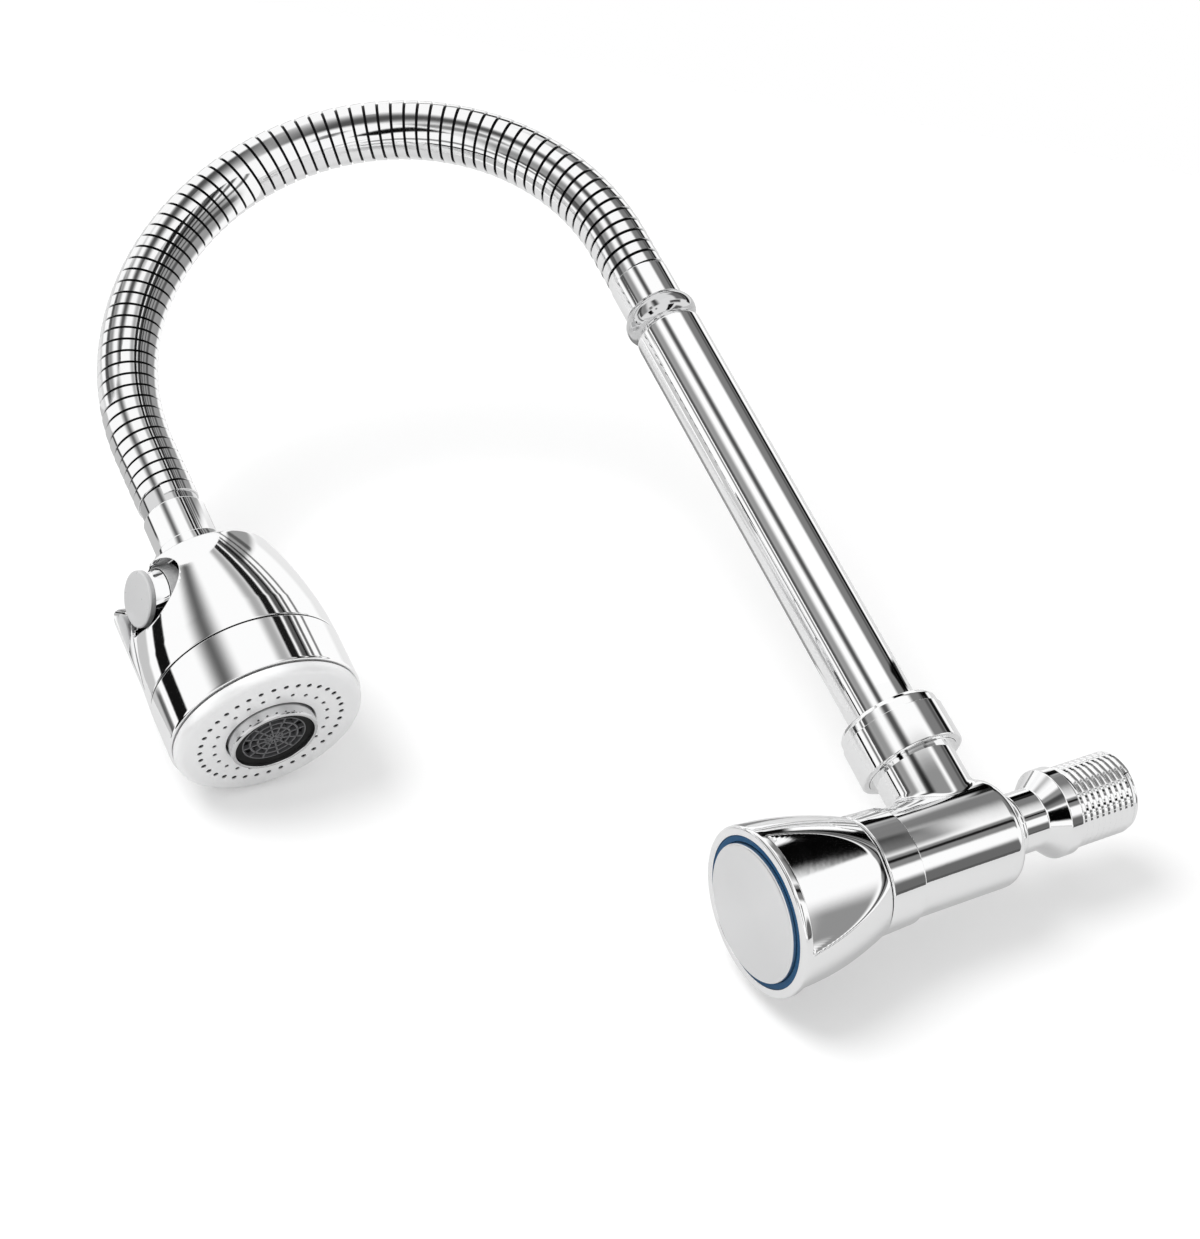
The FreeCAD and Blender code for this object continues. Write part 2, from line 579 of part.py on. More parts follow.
def hose_section(start, end):
    """Interlocked steel strip, drawn as one rib per turn, with a plain bore."""
    ribs = max(int(round((end - start) / float(D.rib_pitch))), 1)
    pitch = (end - start) / ribs
    hoops = []
    for k in range(ribs):
        low = start + k * pitch
        for share, radius in ((0.0, D.hose_groove), (0.16, D.hose_crest),
                              (0.78, D.hose_crest), (0.88, D.hose_groove)):
            hoops.append(hoop(radius, low + share * pitch))
    hoops.append(hoop(D.hose_groove, end))
    skin = Part.makeLoft(hoops, True, True)
    return skin.cut(bent_rod(D.hose_bore, start - 1, end + 1))


def inner_tube(start, end, ball):
    """Rubber water tube of one section; a round bead at its end sits in the next one."""
    bore = float(D.tube_bore)
    tube = bent_rod(D.tube_radius, start, end)
    if ball is not None:
        bead = Part.makeSphere(float(D.ball_radius))
        reach = float(D.ball_reach)
        bead = bead.common(Part.makeCylinder(20, 2 * reach, Vector(0, 0, -reach)))
        bead.translate(Vector(0, 0, float(D.arch_height)))
        tube = tube.fuse(along(bead, ball))
        end = ball + reach
    return tube.cut(bent_rod(bore, start - 1, end + 1)).removeSplitter()


def add_shape(shape, label, frame):
    obj = doc.addObject("Part::Feature", label + "_shape")
    obj.Shape = shape
    return finish(obj, label, frame)


def gooseneck():
    links = int(float(D.hose_links))
    step, half_gap = ARCH / links, float(D.link_gap) / 2
    joints = [step * (k + 0.5) for k in range(links)]
    start = HOSE_START - float(D.arch_height)
    stop = ARCH + float(D.hose_end_drop)
    for k in range(links + 1):
        low = start if k == 0 else joints[k - 1] + half_gap
        high = stop if k == links else joints[k] - half_gap
        add_shape(hose_section(low, high), "hose_section_%d" % (k + 1), SPOUT)
        tube_low = start if k == 0 else joints[k - 1] + float(D.tube_start)
        ball = None if k == links else joints[k]
        add_shape(inner_tube(tube_low, stop if ball is None else ball, ball),
                  "inner_tube_%d" % (k + 1), SPOUT)


def lower_ferrule():
    bottom = NECK_TOP + 0.15
    bead = D.lower_ferrule_height / 2
    turned("lower_ferrule", [
        (D.plug_radius, bottom), (D.lower_ferrule_radius - 0.3, bottom),
        (D.lower_ferrule_radius - 0.3, bottom + bead, bead * 1.1, 1),
        (D.hose_crest + 0.1, bottom + bead * 2), (D.hose_crest + 0.1, bottom + 0.13),
        (D.plug_radius, bottom + 0.13)], TIP)
    ring("hose_plug", D.plug_bore, D.plug_radius, NECK_TOP - D.plug_depth,
         NECK_TOP + D.plug_reach, TIP)


def face_plate():
    body = turned("face_plate", [
        (D.aerator_hole, ZERO), (D.face_radius, ZERO), (D.face_radius, D.face_thickness),
        (D.face_spigot, D.face_thickness), (D.face_spigot, D.face_thickness + D.spigot_height),
        (D.face_spigot - D.spigot_wall, D.face_thickness + D.spigot_height),
        (D.face_spigot - D.spigot_wall, D.face_thickness - 1),
        (D.aerator_hole, D.face_thickness - 1)],
        fillets=[(D.face_radius, ZERO, D.face_fillet)])
    tip = body.Tip
    for label, radius, count in (("outer", D.outer_ring_radius, D.outer_nozzles),
                                 ("inner", D.inner_ring_radius, D.inner_nozzles)):
        tip = nozzle_ring(body, label, radius, count)
    body.Tip = tip
    return finish(body, "face_plate", HEAD)


def nozzle_ring(body, label, radius, count):
    from Sketcher import Constraint
    sketch = new_sketch(body, label + "_nozzle_sketch")
    circle = sketch.addGeometry(Part.Circle(Vector(float(radius), 0, 0), Vector(0, 0, 1),
                                            float(D.nozzle_radius)), False)
    sketch.addConstraint(Constraint("PointOnObject", circle, 3, -1))
    k = sketch.addConstraint(Constraint("DistanceX", -1, 1, circle, 3, float(radius)))
    sketch.setExpression("Constraints[%d]" % k, radius.text)
    k = sketch.addConstraint(Constraint("Radius", circle, float(D.nozzle_radius)))
    sketch.setExpression("Constraints[%d]" % k, D.nozzle_radius.text)
    hole = body.newObject("PartDesign::Pocket", label + "_nozzle")
    hole.Profile = sketch
    hole.Type = "ThroughAll"
    hole.Midplane = True
    doc.recompute()
    pattern = body.newObject("PartDesign::PolarPattern", label + "_nozzles")
    pattern.Originals = [hole]
    pattern.Axis = (sketch, ["N_Axis"])
    pattern.Angle = 360
    pattern.Occurrences = int(float(count))
    bind(pattern, "Occurrences", count)
    body.Tip = pattern
    doc.recompute()
    return pattern


def shells():
    base = D.face_thickness + 0.1
    ring("lower_shell", D.face_spigot + 0.1, D.shell_radius, base, D.seam_height, HEAD,
         fillets=[(D.shell_radius, base, 0.6)])
    low = D.seam_height + D.seam_gap
    wall = D.shell_wall
    roof = CROWN_HEIGHT - D.crown_thickness
    shoulder = CROWN_HEIGHT - D.shoulder_drop
    bell = turned("upper_bell", [
        (D.shell_radius - wall, low), (D.shell_radius, low),
        (D.waist_radius, D.waist_height),
        (D.shoulder_radius_top, shoulder, D.waist_curve, 1),
        (D.crown_radius, CROWN_HEIGHT),
        (D.crown_hole, CROWN_HEIGHT), (D.crown_hole, roof), (D.crown_radius, roof),
        (D.shoulder_radius_top - wall * 1.35, shoulder - wall * 1.25),
        (D.waist_radius - wall, D.waist_height, D.waist_curve, -1)],
        fillets=[(D.shoulder_radius_top, shoulder, D.shoulder_round)])
    hood = turned_hood(wall)
    shape = cut("upper_shell_shape", fuse("bell_and_hood", bell, hood), *pocket_tools())
    finish(shape, "upper_shell", HEAD)
    turned("trim_collar", [
        (D.neck_tube + 0.1, CROWN_HEIGHT + 0.05), (D.crown_radius, CROWN_HEIGHT + 0.05),
        (D.collar_top_radius, CROWN_HEIGHT + D.collar_height),
        (D.neck_tube + 0.1, CROWN_HEIGHT + D.collar_height)], HEAD)


def pocket_tools():
    """Slanted slot with round ends in the shell, where the button sits."""
    back, front = D.core_radius + D.pocket_back, D.hood_front + D.tool_reach
    high = D.button_height - D.pocket_drop
    ends = []
    for label, x, z in (("pocket", D.pocket_side, high),
                        ("slide", D.pocket_side + D.pocket_slide, high - D.pocket_fall)):
        end = rod("button_" + label, D.pocket_radius, back, front, FRONTWARD)
        bind(end, "Placement.Base.x", x)
        bind(end, "Placement.Base.z", z)
        ends.append(end)
    run = math.hypot(float(D.pocket_slide), float(D.pocket_fall))
    tilt = Rotation(Vector(0, 1, 0),
                    math.degrees(math.atan2(float(D.pocket_fall), float(D.pocket_slide))))
    bridge = doc.addObject("Part::Box", "button_bridge")
    bridge.Length = run
    bind(bridge, "Width", front - back)
    bind(bridge, "Height", D.pocket_radius * 2)
    start = Vector(float(D.pocket_side), -float(front), float(high))
    bridge.Placement = Placement(
        start + tilt.multVec(Vector(0, 0, -float(D.pocket_radius))), tilt)
    return ends + [bridge]


def turned_hood(wall):
    """Upright lip of the shell beside the button, flush with the lower shell."""
    base = D.button_height - D.hood_below - D.hood_root
    top = D.button_height + D.hood_above
    lip = turned("hood_round", [
        (D.shell_radius - wall, base), (D.hood_front, base),
        (D.hood_front, top - D.hood_round), (D.hood_front - D.hood_round, top, D.hood_round, 1),
        (D.shoulder_radius_top - wall, top)])
    slot = brick("hood_slot", -1 * D.hood_offset, -1 * (D.hood_front + 1), D.waist_height,
                 D.hood_width, D.hood_front, top)
    common = doc.addObject("Part::Common", "hood")
    common.Base, common.Tool = lip, slot
    return common


def neck():
    flange_top = CROWN_HEIGHT - D.crown_thickness - 0.02
    turned("head_neck", [
        (D.neck_bore, CORE_TOP + 0.05), (D.neck_flange, CORE_TOP + 0.05),
        (D.neck_flange, flange_top), (D.neck_tube, flange_top), (D.neck_tube, NECK_TOP),
        (D.neck_bore, NECK_TOP)], HEAD)


def spray_core():
    seat = D.manifold_base + D.manifold_height
    solid = turned("core_solid", [
        (ZERO, D.core_tube_base), (D.core_tube, D.core_tube_base),
        (D.core_tube, D.manifold_base), (D.manifold_radius, D.manifold_base),
        (D.manifold_radius, seat), (D.core_radius, seat), (D.core_radius, CORE_TOP),
        (ZERO, CORE_TOP)])
    spool_way = rod("spool_way", D.spool_bore, -1 * (D.spool_back + D.button_travel + 0.5),
                    D.core_radius + 1, FRONTWARD)
    bind(spool_way, "Placement.Base.z", D.button_height)
    return finish(cut("spray_core_shape", solid, spool_way,
                      rod("core_outlet", D.core_bore, D.core_tube_base - 1,
                          D.button_height - D.spool_bore - 2),
                      rod("core_link", D.core_inlet - 1.6, ZERO, D.button_height),
                      rod("core_inlet_way", D.core_inlet - 1, D.button_height, CORE_TOP + 1)),
                  "spray_core", HEAD)


def diverter():
    face = D.button_face - D.button_cap_thickness
    lay = HEAD.multiply(Placement(Vector(0, 0, float(D.button_height)), FRONTWARD))
    groove, wide = D.spool_radius - D.spool_ring * 2, D.spool_ring_width
    back, front = -1 * D.spool_ring_back, D.spool_ring_front
    turned("diverter_button", [
        (ZERO, -1 * D.spool_back), (D.spool_radius, -1 * D.spool_back),
        (D.spool_radius, back), (groove, back), (groove, back + wide),
        (D.spool_radius, back + wide),
        (D.spool_radius, front), (groove, front), (groove, front + wide),
        (D.spool_radius, front + wide), (D.spool_radius, D.hub_back),
        (D.hub_radius, D.hub_back), (D.hub_radius, face), (ZERO, face)], lay)
    turned("button_cap", [(ZERO, face + 0.02), (D.cap_button_radius, face + 0.02),
                          (D.cap_button_radius, D.button_face), (ZERO, D.button_face)], lay,
           fillets=[(D.cap_button_radius, D.button_face, 0.5)])
    rings = [torus("spool_ring%d" % k, D.spool_radius - D.spool_ring, D.spool_ring,
                   place + wide / 2) for k, place in enumerate((back, front))]
    finish(fuse("spool_rings_shape", *rings), "spool_o_rings", lay)


def aerator():
    front, lip = -1 * D.aerator_front, D.aerator_lip_thickness
    thread = D.core_tube + D.clearance
    chamber = thread - 0.7
    turned("aerator_housing", [
        (D.aerator_lip, front), (D.aerator_radius, front), (D.aerator_radius, D.aerator_back),
        (thread, D.aerator_back), (thread, D.core_tube_base - 0.2),
        (chamber, D.core_tube_base - 0.2), (chamber, front + lip), (D.aerator_lip, front + lip)],
        HEAD, fillets=[(D.aerator_radius, front, 0.5)])
    mesh_base = front + lip + 0.02
    finish(aerator_mesh(chamber - 0.1, mesh_base), "aerator_insert", HEAD)
    washer = mesh_base + D.mesh_thickness + 0.02
    ring("aerator_washer", D.core_bore + 1, chamber - 0.1, washer, washer + D.washer_height, HEAD)
    ring("face_gasket", D.gasket_inner + 0.3, D.face_spigot - 0.1,
         D.face_thickness + D.spigot_height + 0.02,
         D.face_thickness + D.spigot_height + 0.02 + D.gasket_height, HEAD)


def aerator_mesh(outer, base):
    """Plastic flow straightener: rings joined by spokes."""
    top = base + D.mesh_thickness
    rings = []
    for k in range(4):
        edge = outer * (1 - 0.24 * k)
        wall = D.mesh_ring * (1.6 if k == 0 else 1)
        rings.append(cut("mesh_ring%d" % k, rod("mesh_round%d" % k, edge, base, top),
                         rod("mesh_hole%d" % k, edge - wall, base - 1, top + 1)))
    hub = rod("mesh_hub", D.mesh_ring * 1.5, base, top)
    spokes = []
    for k in range(6):
        spoke = brick("mesh_spoke%d" % k, -1 * outer + 0.2, -0.5 * D.mesh_ring, base,
                      outer * 2 - 0.4, D.mesh_ring, D.mesh_thickness)
        turn = Rotation(Vector(0, 0, 1), 30 * k)
        spoke.setExpression("Placement.Base.x", None)
        spoke.setExpression("Placement.Base.y", None)
        corner = turn.multVec(Vector(-float(outer) + 0.2, -0.5 * float(D.mesh_ring), float(base)))
        spoke.Placement = Placement(corner, turn)
        spokes.append(spoke)
    return fuse("aerator_insert_shape", hub, *rings, *spokes)


def check(obj):
    if {"Invalid", "Error"} & set(obj.State):
        raise RuntimeError("%s: %s" % (obj.Label, obj.State))


def export_all():
    doc.recompute()
    for obj in doc.Objects:
        check(obj)
    os.makedirs("parts", exist_ok=True)
    for obj in nodes:
        shape = obj.Shape
        if shape.isNull() or not shape.isValid() or not shape.Solids:
            raise RuntimeError("no sound solid for " + obj.Label)
        shape.exportStep("parts/%s.step" % obj.Label)


valve_body()
spout_nut()
collar_ring()
cartridge_housing()
cartridge()
spindle()
knob()
knob_front_pieces()
riser()
gooseneck()
lower_ferrule()
face_plate()
shells()
neck()
spray_core()
diverter()
aerator()
export_all()
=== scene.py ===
from math import atan2, cos, degrees, pi, radians, sin, sqrt, tan
import bmesh
import bpy
from mathutils import Matrix, Vector


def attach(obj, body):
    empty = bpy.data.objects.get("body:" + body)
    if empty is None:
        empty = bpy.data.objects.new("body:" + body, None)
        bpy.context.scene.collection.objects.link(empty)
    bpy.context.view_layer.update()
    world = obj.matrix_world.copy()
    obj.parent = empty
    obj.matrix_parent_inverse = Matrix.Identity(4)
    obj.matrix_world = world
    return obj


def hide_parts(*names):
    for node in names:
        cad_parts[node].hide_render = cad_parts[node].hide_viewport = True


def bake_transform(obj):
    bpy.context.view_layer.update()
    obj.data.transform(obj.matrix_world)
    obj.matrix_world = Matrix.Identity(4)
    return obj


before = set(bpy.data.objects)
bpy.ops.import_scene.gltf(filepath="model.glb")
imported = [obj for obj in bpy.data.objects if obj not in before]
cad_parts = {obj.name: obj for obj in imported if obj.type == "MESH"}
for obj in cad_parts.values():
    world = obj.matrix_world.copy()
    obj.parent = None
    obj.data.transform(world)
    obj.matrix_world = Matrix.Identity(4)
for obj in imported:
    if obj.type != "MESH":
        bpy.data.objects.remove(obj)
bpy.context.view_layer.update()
bpy.context.scene.view_settings.view_transform = "Standard"
print("frame loaded")

# places of the groups of pieces: millimetres in, metres in the row frame out
places = {
    "reach": 30.0, "swing": -21.0, "archRadius": 69.5, "archHeight": 191.2,
    "drop": 22.0, "lean": 5.4, "neckTop": 71.1, "headTurn": 34.8, "buttonHeight": 44.2,
}
leanRadius = places["drop"] / radians(places["lean"])
tip = Vector((leanRadius * (1 - cos(radians(places["lean"]))), -2 * places["archRadius"],
              places["archHeight"] - leanRadius * sin(radians(places["lean"]))))
upright = Matrix.Rotation(radians(90), 4, "X")
axisPlace = Matrix.Diagonal((0.001, 0.001, 0.001, 1)) @ Matrix.Translation((0, -places["reach"], 0))
valvePlace = axisPlace @ upright
spoutPlace = axisPlace @ Matrix.Rotation(radians(places["swing"]), 4, "Z")
tipPlace = (spoutPlace @ Matrix.Translation(tip) @ Matrix.Rotation(radians(-places["lean"]), 4, "Y")
            @ Matrix.Translation((0, 0, -places["neckTop"])))
headPlace = tipPlace @ Matrix.Rotation(radians(places["headTurn"]), 4, "Z")
buttonPlace = headPlace @ Matrix.Translation((0, 0, places["buttonHeight"])) @ upright

view = {
    "centre": (0.5115, -0.3717, -0.1674), "right": (0.269, 0.864, -0.425),
    "up": (0.530, 0.236, 0.814), "focalPixels": 2600, "imageWidth": 1200, "sensor": 36,
}


def linked(name, data):
    made = bpy.data.objects.new(name, data)
    bpy.context.scene.collection.objects.link(made)
    return made


def setCamera():
    camera = linked("photoCamera", bpy.data.cameras.new("photoCamera"))
    right = Vector(view["right"]).normalized()
    back = right.cross(Vector(view["up"])).normalized()
    turn = Matrix((right, back.cross(right), back)).transposed().to_4x4()
    camera.matrix_world = Matrix.Translation(view["centre"]) @ turn
    lens = camera.data
    lens.sensor_fit, lens.sensor_width = "HORIZONTAL", view["sensor"]
    lens.lens = view["focalPixels"] / view["imageWidth"] * view["sensor"]
    lens.clip_start, lens.clip_end = 0.01, 20
    bpy.context.scene.camera = camera
    return turn


cameraTurn = setCamera()
print("camera set")


class Term:
    # a socket that stands in sums: each sign adds a math node to its tree
    def __init__(self, wires, socket):
        self.wires, self.socket = wires, socket

    def __add__(self, other):
        return self.wires.math("ADD", self, other)

    def __sub__(self, other):
        return self.wires.math("SUBTRACT", self, other)

    def __rsub__(self, other):
        return self.wires.math("SUBTRACT", other, self)

    def __mul__(self, other):
        return self.wires.math("MULTIPLY", self, other)

    def __truediv__(self, other):
        return self.wires.math("DIVIDE", self, other)

    __radd__, __rmul__ = __add__, __mul__


class Wires:
    # adds nodes to a tree; a node, a term, a socket or a plain value can feed each input
    def __init__(self, tree):
        self.tree, self.nodes = tree, tree.nodes

    def add(self, kind, sockets=(), **settings):
        node = self.nodes.new(kind)
        for key, value in settings.items():
            setattr(node, key, value)
        for key, value in dict(sockets).items():
            self.feed(node.inputs[key], value)
        return node

    def feed(self, socket, value):
        if isinstance(value, bpy.types.Node):
            value = value.outputs[0]
        if isinstance(value, Term):
            value = value.socket
        if isinstance(value, bpy.types.NodeSocket):
            self.tree.links.new(value, socket)
        else:
            socket.default_value = value

    def take(self, kind, sockets=(), output=0, **settings):
        return Term(self, self.add(kind, sockets, **settings).outputs[output])

    def math(self, operation, *values):
        return self.take("ShaderNodeMath", enumerate(values), operation=operation)

    def ramp(self, value, low, high, toLow=0.0, toHigh=1.0):
        return self.take("ShaderNodeMapRange", {0: value, 1: low, 2: high, 3: toLow, 4: toHigh},
                         interpolation_type="SMOOTHSTEP")

    def line(self, value, low, high):
        return self.take("ShaderNodeMapRange", {0: value, 1: low, 2: high})

    def vector(self, x=0.0, y=0.0, z=0.0):
        return self.add("ShaderNodeCombineXYZ", {0: x, 1: y, 2: z})

    def axes(self, place):
        parts = self.add("ShaderNodeSeparateXYZ", {0: place}).outputs
        return [Term(self, part) for part in parts]

    def azimuth(self, x, y):
        return self.math("DEGREES", self.math("ARCTAN2", y, x))

    def veil(self, level):
        return self.add("ShaderNodeBsdfTransparent", {"Color": self.vector(level, level, level)})

    def oneSided(self, surface):
        back = self.add("ShaderNodeNewGeometry").outputs["Backfacing"]
        side = self.add("ShaderNodeMixShader", {0: back, 1: surface,
                                                2: self.add("ShaderNodeBsdfTransparent")})
        self.add("ShaderNodeOutputMaterial", {"Surface": side})


def emptied(owner):
    owner.use_nodes = True
    owner.node_tree.nodes.clear()
    return Wires(owner.node_tree)


white = (1, 1, 1, 1)
studio = {
    "whiteLevel": 1.0, "fillLevel": 0.72, "glossLevel": 1.03, "contrast": 1.3,
    "floorNormal": (0.927, 0, 0.375), "floorGap": 0.0006, "floorSize": 0.42,
    # the last three below: level, lift and size of the grey sheet that paints shade on the floor, which only
    # reflections see
    "floorColour": 0.80, "floorGlow": 0.22, "gauze": 0.72, "gauzeLift": 0.0002, "gauzeSize": 1.6,
    "lampFrom": (-0.45, 0.80, 0.75), "lampDistance": 1.3, "lampSize": 0.7, "lampPower": 9.0,
    "screenColumns": 96, "middle": (0, -0.09, 0.10),
}
# flags round the set: azimuth, height, half widths of both, soft edge, level
flags = {
    "tallBlack": (82, 28, 6.5, 34, 5, 0.02), "greyCard": (57, 28, 20, 25, 12, 0.29),
    "greyDeep": (69, 28, 5, 25, 8, 0.55), "darkStrip": (-26, 28, 8, 28, 13, 0.15),
    "sideStrip": (-85, 28, 10, 34, 9, 0.16), "sideGrade": (-66, 28, 11, 34, 16, 0.40),
    "coneBlack": (-52, -25, 6, 15, 4, 0.004), "coneGrey": (-44, 5, 5, 10, 6, 0.32),
    "lens": (-31, -22, 3, 6, 4, 0.25),
    "roofBlack": (93, 62, 5.5, 10, 3, 0.008), "roofGrey": (80, 60, 8, 6, 7, 0.22),
    "tableEdge": (33, -8, 15, 2.2, 3, 0.08), "tableShade": (34, -10, 18, 9, 5, 0.32),
    "lowBlack": (20, -44, 10, 19, 4, 0.004), "underCard": (58, -49, 16, 11, 9, 0.22),
}
# round screens that only reflections see: a solid one about the head, a net about the riser;
# their cards: azimuth and height on the screen in mm, half widths of both, soft edge, level
screens = {
    "headScreen": {
        "foot": headPlace, "radius": 0.060, "low": 0.020, "high": 0.248, "solid": True, "cards": {
            "left": (-97, 118, 8.5, 74, 3, 0.02), "leftDip": (-119, 118, 4, 22, 5, 0.24),
            "leftBase": (-150, 150, 31, 99, 6, 0.64), "neckLeft": (-119, 214, 4.5, 17, 4, 0.12),
            "neckRight": (72, 216, 31, 17, 10, 0.42), "neckLine": (71, 216, 4, 17, 4, 0.40),
            "soft": (-40, 150, 10, 99, 21, 0.20), "shoulder": (20, 150, 6, 99, 10, 0.50),
            "wedge": (31, 150, 4.2, 99, 2.5, 0.03), "second": (42.5, 150, 4.5, 99, 3, 0.16),
            "thread": (44, 150, 0.9, 99, 1, 0.15), "third": (51, 150, 1.6, 99, 1.6, 0.20),
            "rightBase": (128, 118, 36, 78, 10, 0.86), "line": (60, 150, 1.5, 99, 1.8, 0.30),
            "edge": (141, 150, 3, 99, 4, 0.30),
        }},
    "riserNet": {
        "foot": spoutPlace, "radius": 0.060, "low": 0.060, "high": 0.190, "solid": False, "cards": {
            "back": (-179, 118, 15, 99, 12, 0.50), "backLeft": (167, 118, 5, 99, 4, 0.72),
        }},
}
# flat nets near the valve, in mm: middle, half sizes, soft edge, level; the first stands, the second lies
nets = {
    "knobNet": ((60, -42, 20), (0, 34, 18), 15, 0.28),
    "overNet": ((16, 22, 60), (17, 13, 0), 6, 0.04),
}
square = ((-1, -1), (1, -1), (1, 1), (-1, 1))


def covered(w, spans, soft):
    # one where each distance lies within its half width, with a soft edge
    cover = 1.0
    for away, size in spans:
        cover = cover * w.ramp(w.math("ABSOLUTE", away), size - soft / 2, size + soft / 2, 1, 0)
    return cover


def flagLevel(w, azimuth, height, cards):
    level = 1.0
    for place, lift, width, tall, soft, shade in cards.values():
        away = azimuth - place
        away = away - w.math("ROUND", away / 360) * 360
        level = level * (1 - covered(w, ((away, width), (height - lift, tall)), soft) * (1 - shade))
    return w.math("POWER", level, studio["contrast"]) * studio["glossLevel"]


def setWorld():
    world = bpy.data.worlds.new("softStudio")
    bpy.context.scene.world = world
    w = emptied(world)
    x, y, z = w.axes(w.take("ShaderNodeTexCoord", output="Generated"))
    level = flagLevel(w, w.azimuth(x, y), w.math("DEGREES", w.math("ARCSINE", z)), flags)
    path = w.add("ShaderNodeLightPath")
    glossy, plain, fill = [w.add("ShaderNodeBackground", {"Color": white, "Strength": strength})
                           for strength in (level, studio["whiteLevel"], studio["fillLevel"])]
    shiny = w.add("ShaderNodeMixShader", {0: path.outputs["Is Glossy Ray"], 1: fill, 2: glossy})
    clear = w.math("MAXIMUM", path.outputs["Is Camera Ray"], path.outputs["Is Transmission Ray"])
    seen = w.add("ShaderNodeMixShader", {0: clear, 1: shiny, 2: plain})
    w.add("ShaderNodeOutputWorld", {"Surface": seen})


def stageMesh(name, points, faces):
    mesh = bpy.data.meshes.new(name)
    mesh.from_pydata(points, [], faces)
    mesh.materials.append(bpy.data.materials.new(name))
    return linked(name, mesh), emptied(mesh.materials[0])


def hide(card):
    card.visible_camera = card.visible_diffuse = card.visible_shadow = card.visible_transmission = False


def setFloor():
    normal = Vector(studio["floorNormal"]).normalized()
    lowest = min(normal.dot(v.co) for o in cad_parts.values() for v in o.data.vertices)
    sideways = normal.orthogonal().normalized()
    onward = normal.cross(sideways)
    middle = Vector(studio["middle"])
    centre = normal * (lowest - studio["floorGap"]) + middle.project(sideways) + middle.project(onward)

    def sheet(name, reach, lift):
        corners = [centre + normal * lift + sideways * a * reach + onward * b * reach for a, b in square]
        return stageMesh(name, corners, [(0, 1, 2, 3)])

    floor, w = sheet("paleFloor", studio["floorSize"], 0)
    path = w.add("ShaderNodeLightPath")
    paper = w.add("ShaderNodeBsdfDiffuse", {"Color": (*[studio["floorColour"]] * 3, 1)})
    direct = w.math("MAXIMUM", path.outputs["Is Camera Ray"],
                    w.math("MAXIMUM", path.outputs["Is Glossy Ray"], path.outputs["Is Transmission Ray"]))
    lift = w.add("ShaderNodeEmission", {"Color": white, "Strength": direct * studio["floorGlow"]})
    w.oneSided(w.add("ShaderNodeAddShader", {0: paper, 1: lift}))
    # a grey sheet over the floor, out of the camera's sight: painted shade on the floor that only reflections
    # see, which sets the chrome off from the white
    gauze, w = sheet("greyGauze", studio["gauzeSize"], studio["gauzeLift"])
    w.add("ShaderNodeOutputMaterial", {"Surface": w.veil(studio["gauze"])})
    hide(gauze)


def setScreen(name, s):
    foot, count = s["foot"].translation, studio["screenColumns"]
    circle = [(foot.x + s["radius"] * cos(2 * pi * k / count), foot.y + s["radius"] * sin(2 * pi * k / count))
              for k in range(count)]
    screen, w = stageMesh(name, [(x, y, z) for z in (s["low"], s["high"]) for x, y in circle],
                          [(k, k + count, (k + 1) % count + count, (k + 1) % count) for k in range(count)])
    x, y, z = w.axes(w.take("ShaderNodeTexCoord", output="Object"))
    level = flagLevel(w, w.azimuth(x - foot.x, y - foot.y), z * 1000, s["cards"])
    glow = {"Color": white, "Strength": level}
    w.oneSided(w.add("ShaderNodeEmission", glow) if s["solid"] else w.veil(level))
    hide(screen)


def setNet(name, middle, sizes, soft, level):
    spread = [k for k in range(3) if sizes[k]]
    corners = []
    for signs in square:
        corner = Vector(middle)
        for k, sign in zip(spread, signs):
            corner[k] += sign * (sizes[k] + soft / 2)
        corners.append(corner / 1000)
    net, w = stageMesh(name, corners, [(0, 1, 2, 3)])
    place = w.axes(w.take("ShaderNodeTexCoord", output="Object"))
    cover = covered(w, [(place[k] * 1000 - middle[k], sizes[k]) for k in spread], soft)
    w.add("ShaderNodeOutputMaterial", {"Surface": w.veil(1 - cover * (1 - level))})
    hide(net)


def setLamp():
    lamp = linked("softLamp", bpy.data.lights.new("softLamp", "AREA"))
    way = (cameraTurn.to_3x3() @ Vector(studio["lampFrom"])).normalized()
    lamp.matrix_world = (Matrix.Translation(Vector(studio["middle"]) + way * studio["lampDistance"])
                         @ way.to_track_quat("Z", "Y").to_matrix().to_4x4())
    lamp.data.shape, lamp.data.size, lamp.data.energy = "DISK", studio["lampSize"], studio["lampPower"]
    lamp.visible_glossy = False


setWorld()
setFloor()
for name, plan in screens.items():
    setScreen(name, plan)
for name, plan in nets.items():
    setNet(name, *plan)
setLamp()
print("studio set")


def newGroup(name, family, inputs, outputs):
    # a tree with sockets of its own, listed by kind
    group = bpy.data.node_groups.new(name, family + "NodeTree")
    for way, kinds in (("INPUT", inputs), ("OUTPUT", outputs)):
        for kind, labels in kinds.items():
            for label in labels:
                group.interface.new_socket(label, in_out=way, socket_type="NodeSocket" + kind)
    w = Wires(group)
    given = {socket.name: Term(w, socket) for socket in w.nodes.new("NodeGroupInput").outputs}
    return w, given, w.nodes.new("NodeGroupOutput").inputs


